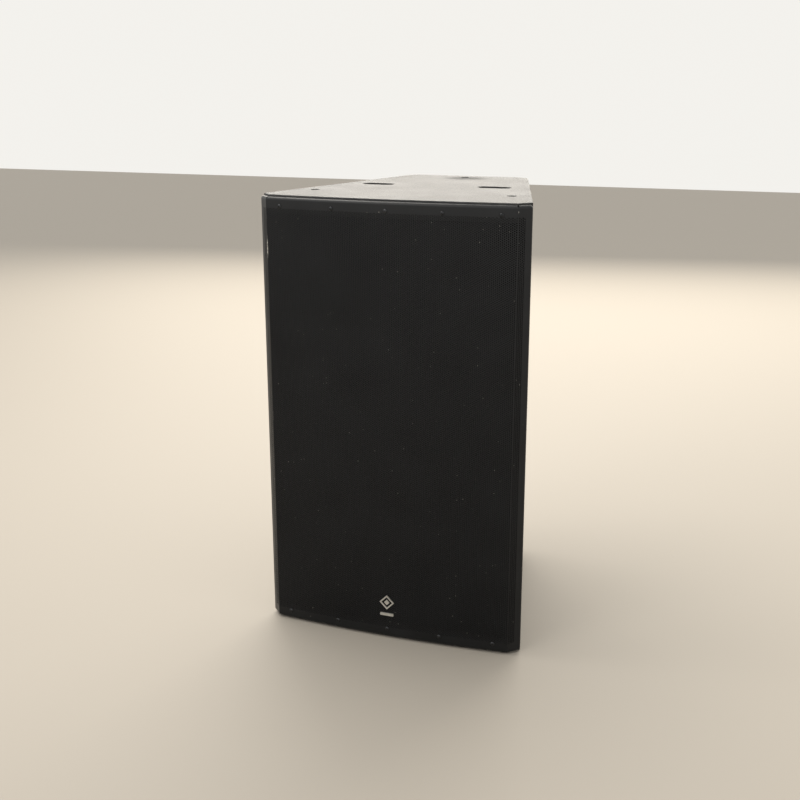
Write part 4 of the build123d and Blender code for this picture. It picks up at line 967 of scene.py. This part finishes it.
def fastenerTree():
    tree, given = newTree("fasteners", {
        "Geometry": "Geometry", "Fastener": "Object", "Seed": "Int", "Material": "Material"})
    facing = addNode(tree, "GeometryNodeInputNamedAttribute", {"data_type": "FLOAT_VECTOR"}, {
        "Name": "facing"}).outputs[0]
    aim = addNode(tree, "FunctionNodeAlignRotationToVector", {"axis": "Z"}, {"Vector": facing}).outputs[0]
    chance = addNode(tree, "FunctionNodeRandomValue", {"data_type": "FLOAT"}, {
        2: 0.0, 3: 2 * math.pi, "Seed": given["Seed"]}).outputs[1]
    turn = addNode(tree, "FunctionNodeAxisAngleToRotation", None, {
        "Axis": (0, 0, 1), "Angle": chance}).outputs[0]
    both = addNode(tree, "FunctionNodeRotateRotation", {"rotation_space": "LOCAL"}, {
        "Rotation": aim, "Rotate By": turn}).outputs[0]
    body = addNode(tree, "GeometryNodeObjectInfo", None, {"Object": given["Fastener"]}).outputs["Geometry"]
    screws = addNode(tree, "GeometryNodeInstanceOnPoints", None, {
        "Points": given["Geometry"], "Instance": body, "Rotation": both}).outputs[0]
    real = addNode(tree, "GeometryNodeRealizeInstances", None, {0: screws}).outputs[0]
    made = addNode(tree, "GeometryNodeSetMaterial", None, {
        "Geometry": real, "Material": given["Material"]}).outputs[0]
    tree.links.new(made, tree.nodes.new("NodeGroupOutput").inputs[0])
    return tree


def placeFasteners(tree, node, seed, name, outline, drive, headRadius, headHeight, shankRadius, facing):
    solids = solidsOf(node)
    longest = max(range(3), key=lambda i: abs(facing[i]))
    length = min(high[longest] - low[longest] for low, high in solids)
    places, aims = [], []
    for low, high in solids:
        middle = (low + high) / 2
        aim = Vector(facing)
        if node == "grille_screws":
            aim = Vector((middle.x, middle.y - grilleLook["frontCentre"], 0)).normalized()
        places.append(middle + aim * length / 2)
        aims.append(aim)
    points = bpy.data.meshes.new(name)
    points.from_pydata(places, [], [])
    way = points.attributes.new("facing", "FLOAT_VECTOR", "POINT")
    for item, aim in zip(way.data, aims):
        item.vector = aim
    slot = nodeSlots[node]
    body = turnedFastener(driveLook, name + "Pattern", outline, drive, headRadius, headHeight, shankRadius,
                          length)
    screws = grow(name, tree, {
        "Fastener": body, "Seed": seed, "Material": finishes[slotFinishes[slot]]}, points)
    bpy.data.objects.remove(body)
    settle(screws, "cabinet", slot, node)


screwTree = fastenerTree()
for seed, (node, look) in enumerate(fastenerLook.items()):
    placeFasteners(screwTree, node, seed, *look)
print("fasteners grown:", len(fastenerLook))


# Foam behind the grille, cut by hand and so not quite even, and the wadding, fluffed up

foamLook = {"edge": 1.0 * mm, "rowHeight": 16 * mm, "waveSize": 60 * mm, "waveDepth": 0.25 * mm, "fill": 1.0,
            "flatBelow": 0.2, "cornerAbove": 60, "smoothBelow": 50}
waddingLook = {"cell": 5 * mm, "clumpSize": 28 * mm, "clumpDepth": 3.2 * mm, "tuftSize": 9 * mm,
               "tuftDepth": 1.1 * mm, "fill": 0.5}


def makeFoam(look):
    foam = weldedCopy("grille_foam", "speakerFoam")
    shape = bmesh.new()
    shape.from_mesh(foam.data)
    flat, corner = math.radians(look["flatBelow"]), math.radians(look["cornerAbove"])
    bmesh.ops.dissolve_limit(shape, angle_limit=flat, verts=shape.verts, edges=shape.edges)
    sharp = [e for e in shape.edges if e.calc_face_angle(0) > corner]
    bmesh.ops.bevel(shape, geom=sharp, offset=look["edge"], segments=2, profile=0.5, affect="EDGES")
    low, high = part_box("grille_foam")
    level = low.z + look["rowHeight"]
    while level < high.z - 2 * look["edge"]:
        bmesh.ops.bisect_plane(shape, geom=shape.verts[:] + shape.edges[:] + shape.faces[:],
                               plane_co=(0, 0, level), plane_no=(0, 0, 1))
        level += look["rowHeight"]
    bmesh.ops.triangulate(shape, faces=[f for f in shape.faces if len(f.verts) > 4])
    for point in shape.verts:
        point.co.y += look["waveDepth"] * noise.noise(point.co / look["waveSize"])
    keepShape(shape, foam.data)
    smoothExceptSharp(foam, look["smoothBelow"])
    settle(foam, "cabinet", "foam", "grille_foam")


def makeWadding(look):
    wadding = weldedCopy("wadding", "polyesterSlabs")
    remesh = wadding.modifiers.new("even", "REMESH")
    remesh.mode = "VOXEL"
    remesh.voxel_size = look["cell"]
    applyModifiers(wadding)
    normals = [v.normal.copy() for v in wadding.data.vertices]
    for corner, normal in zip(wadding.data.vertices, normals):
        clump = abs(noise.noise(corner.co / look["clumpSize"])) * look["clumpDepth"]
        tuft = (0.5 + 0.5 * noise.noise(corner.co / look["tuftSize"])) * look["tuftDepth"]
        corner.co -= normal * (clump + tuft)
    wadding.data.shade_smooth()
    settle(wadding, "cabinet", "wadding", "wadding")


makeFoam(foamLook)
makeWadding(waddingLook)
print("foam and wadding made")
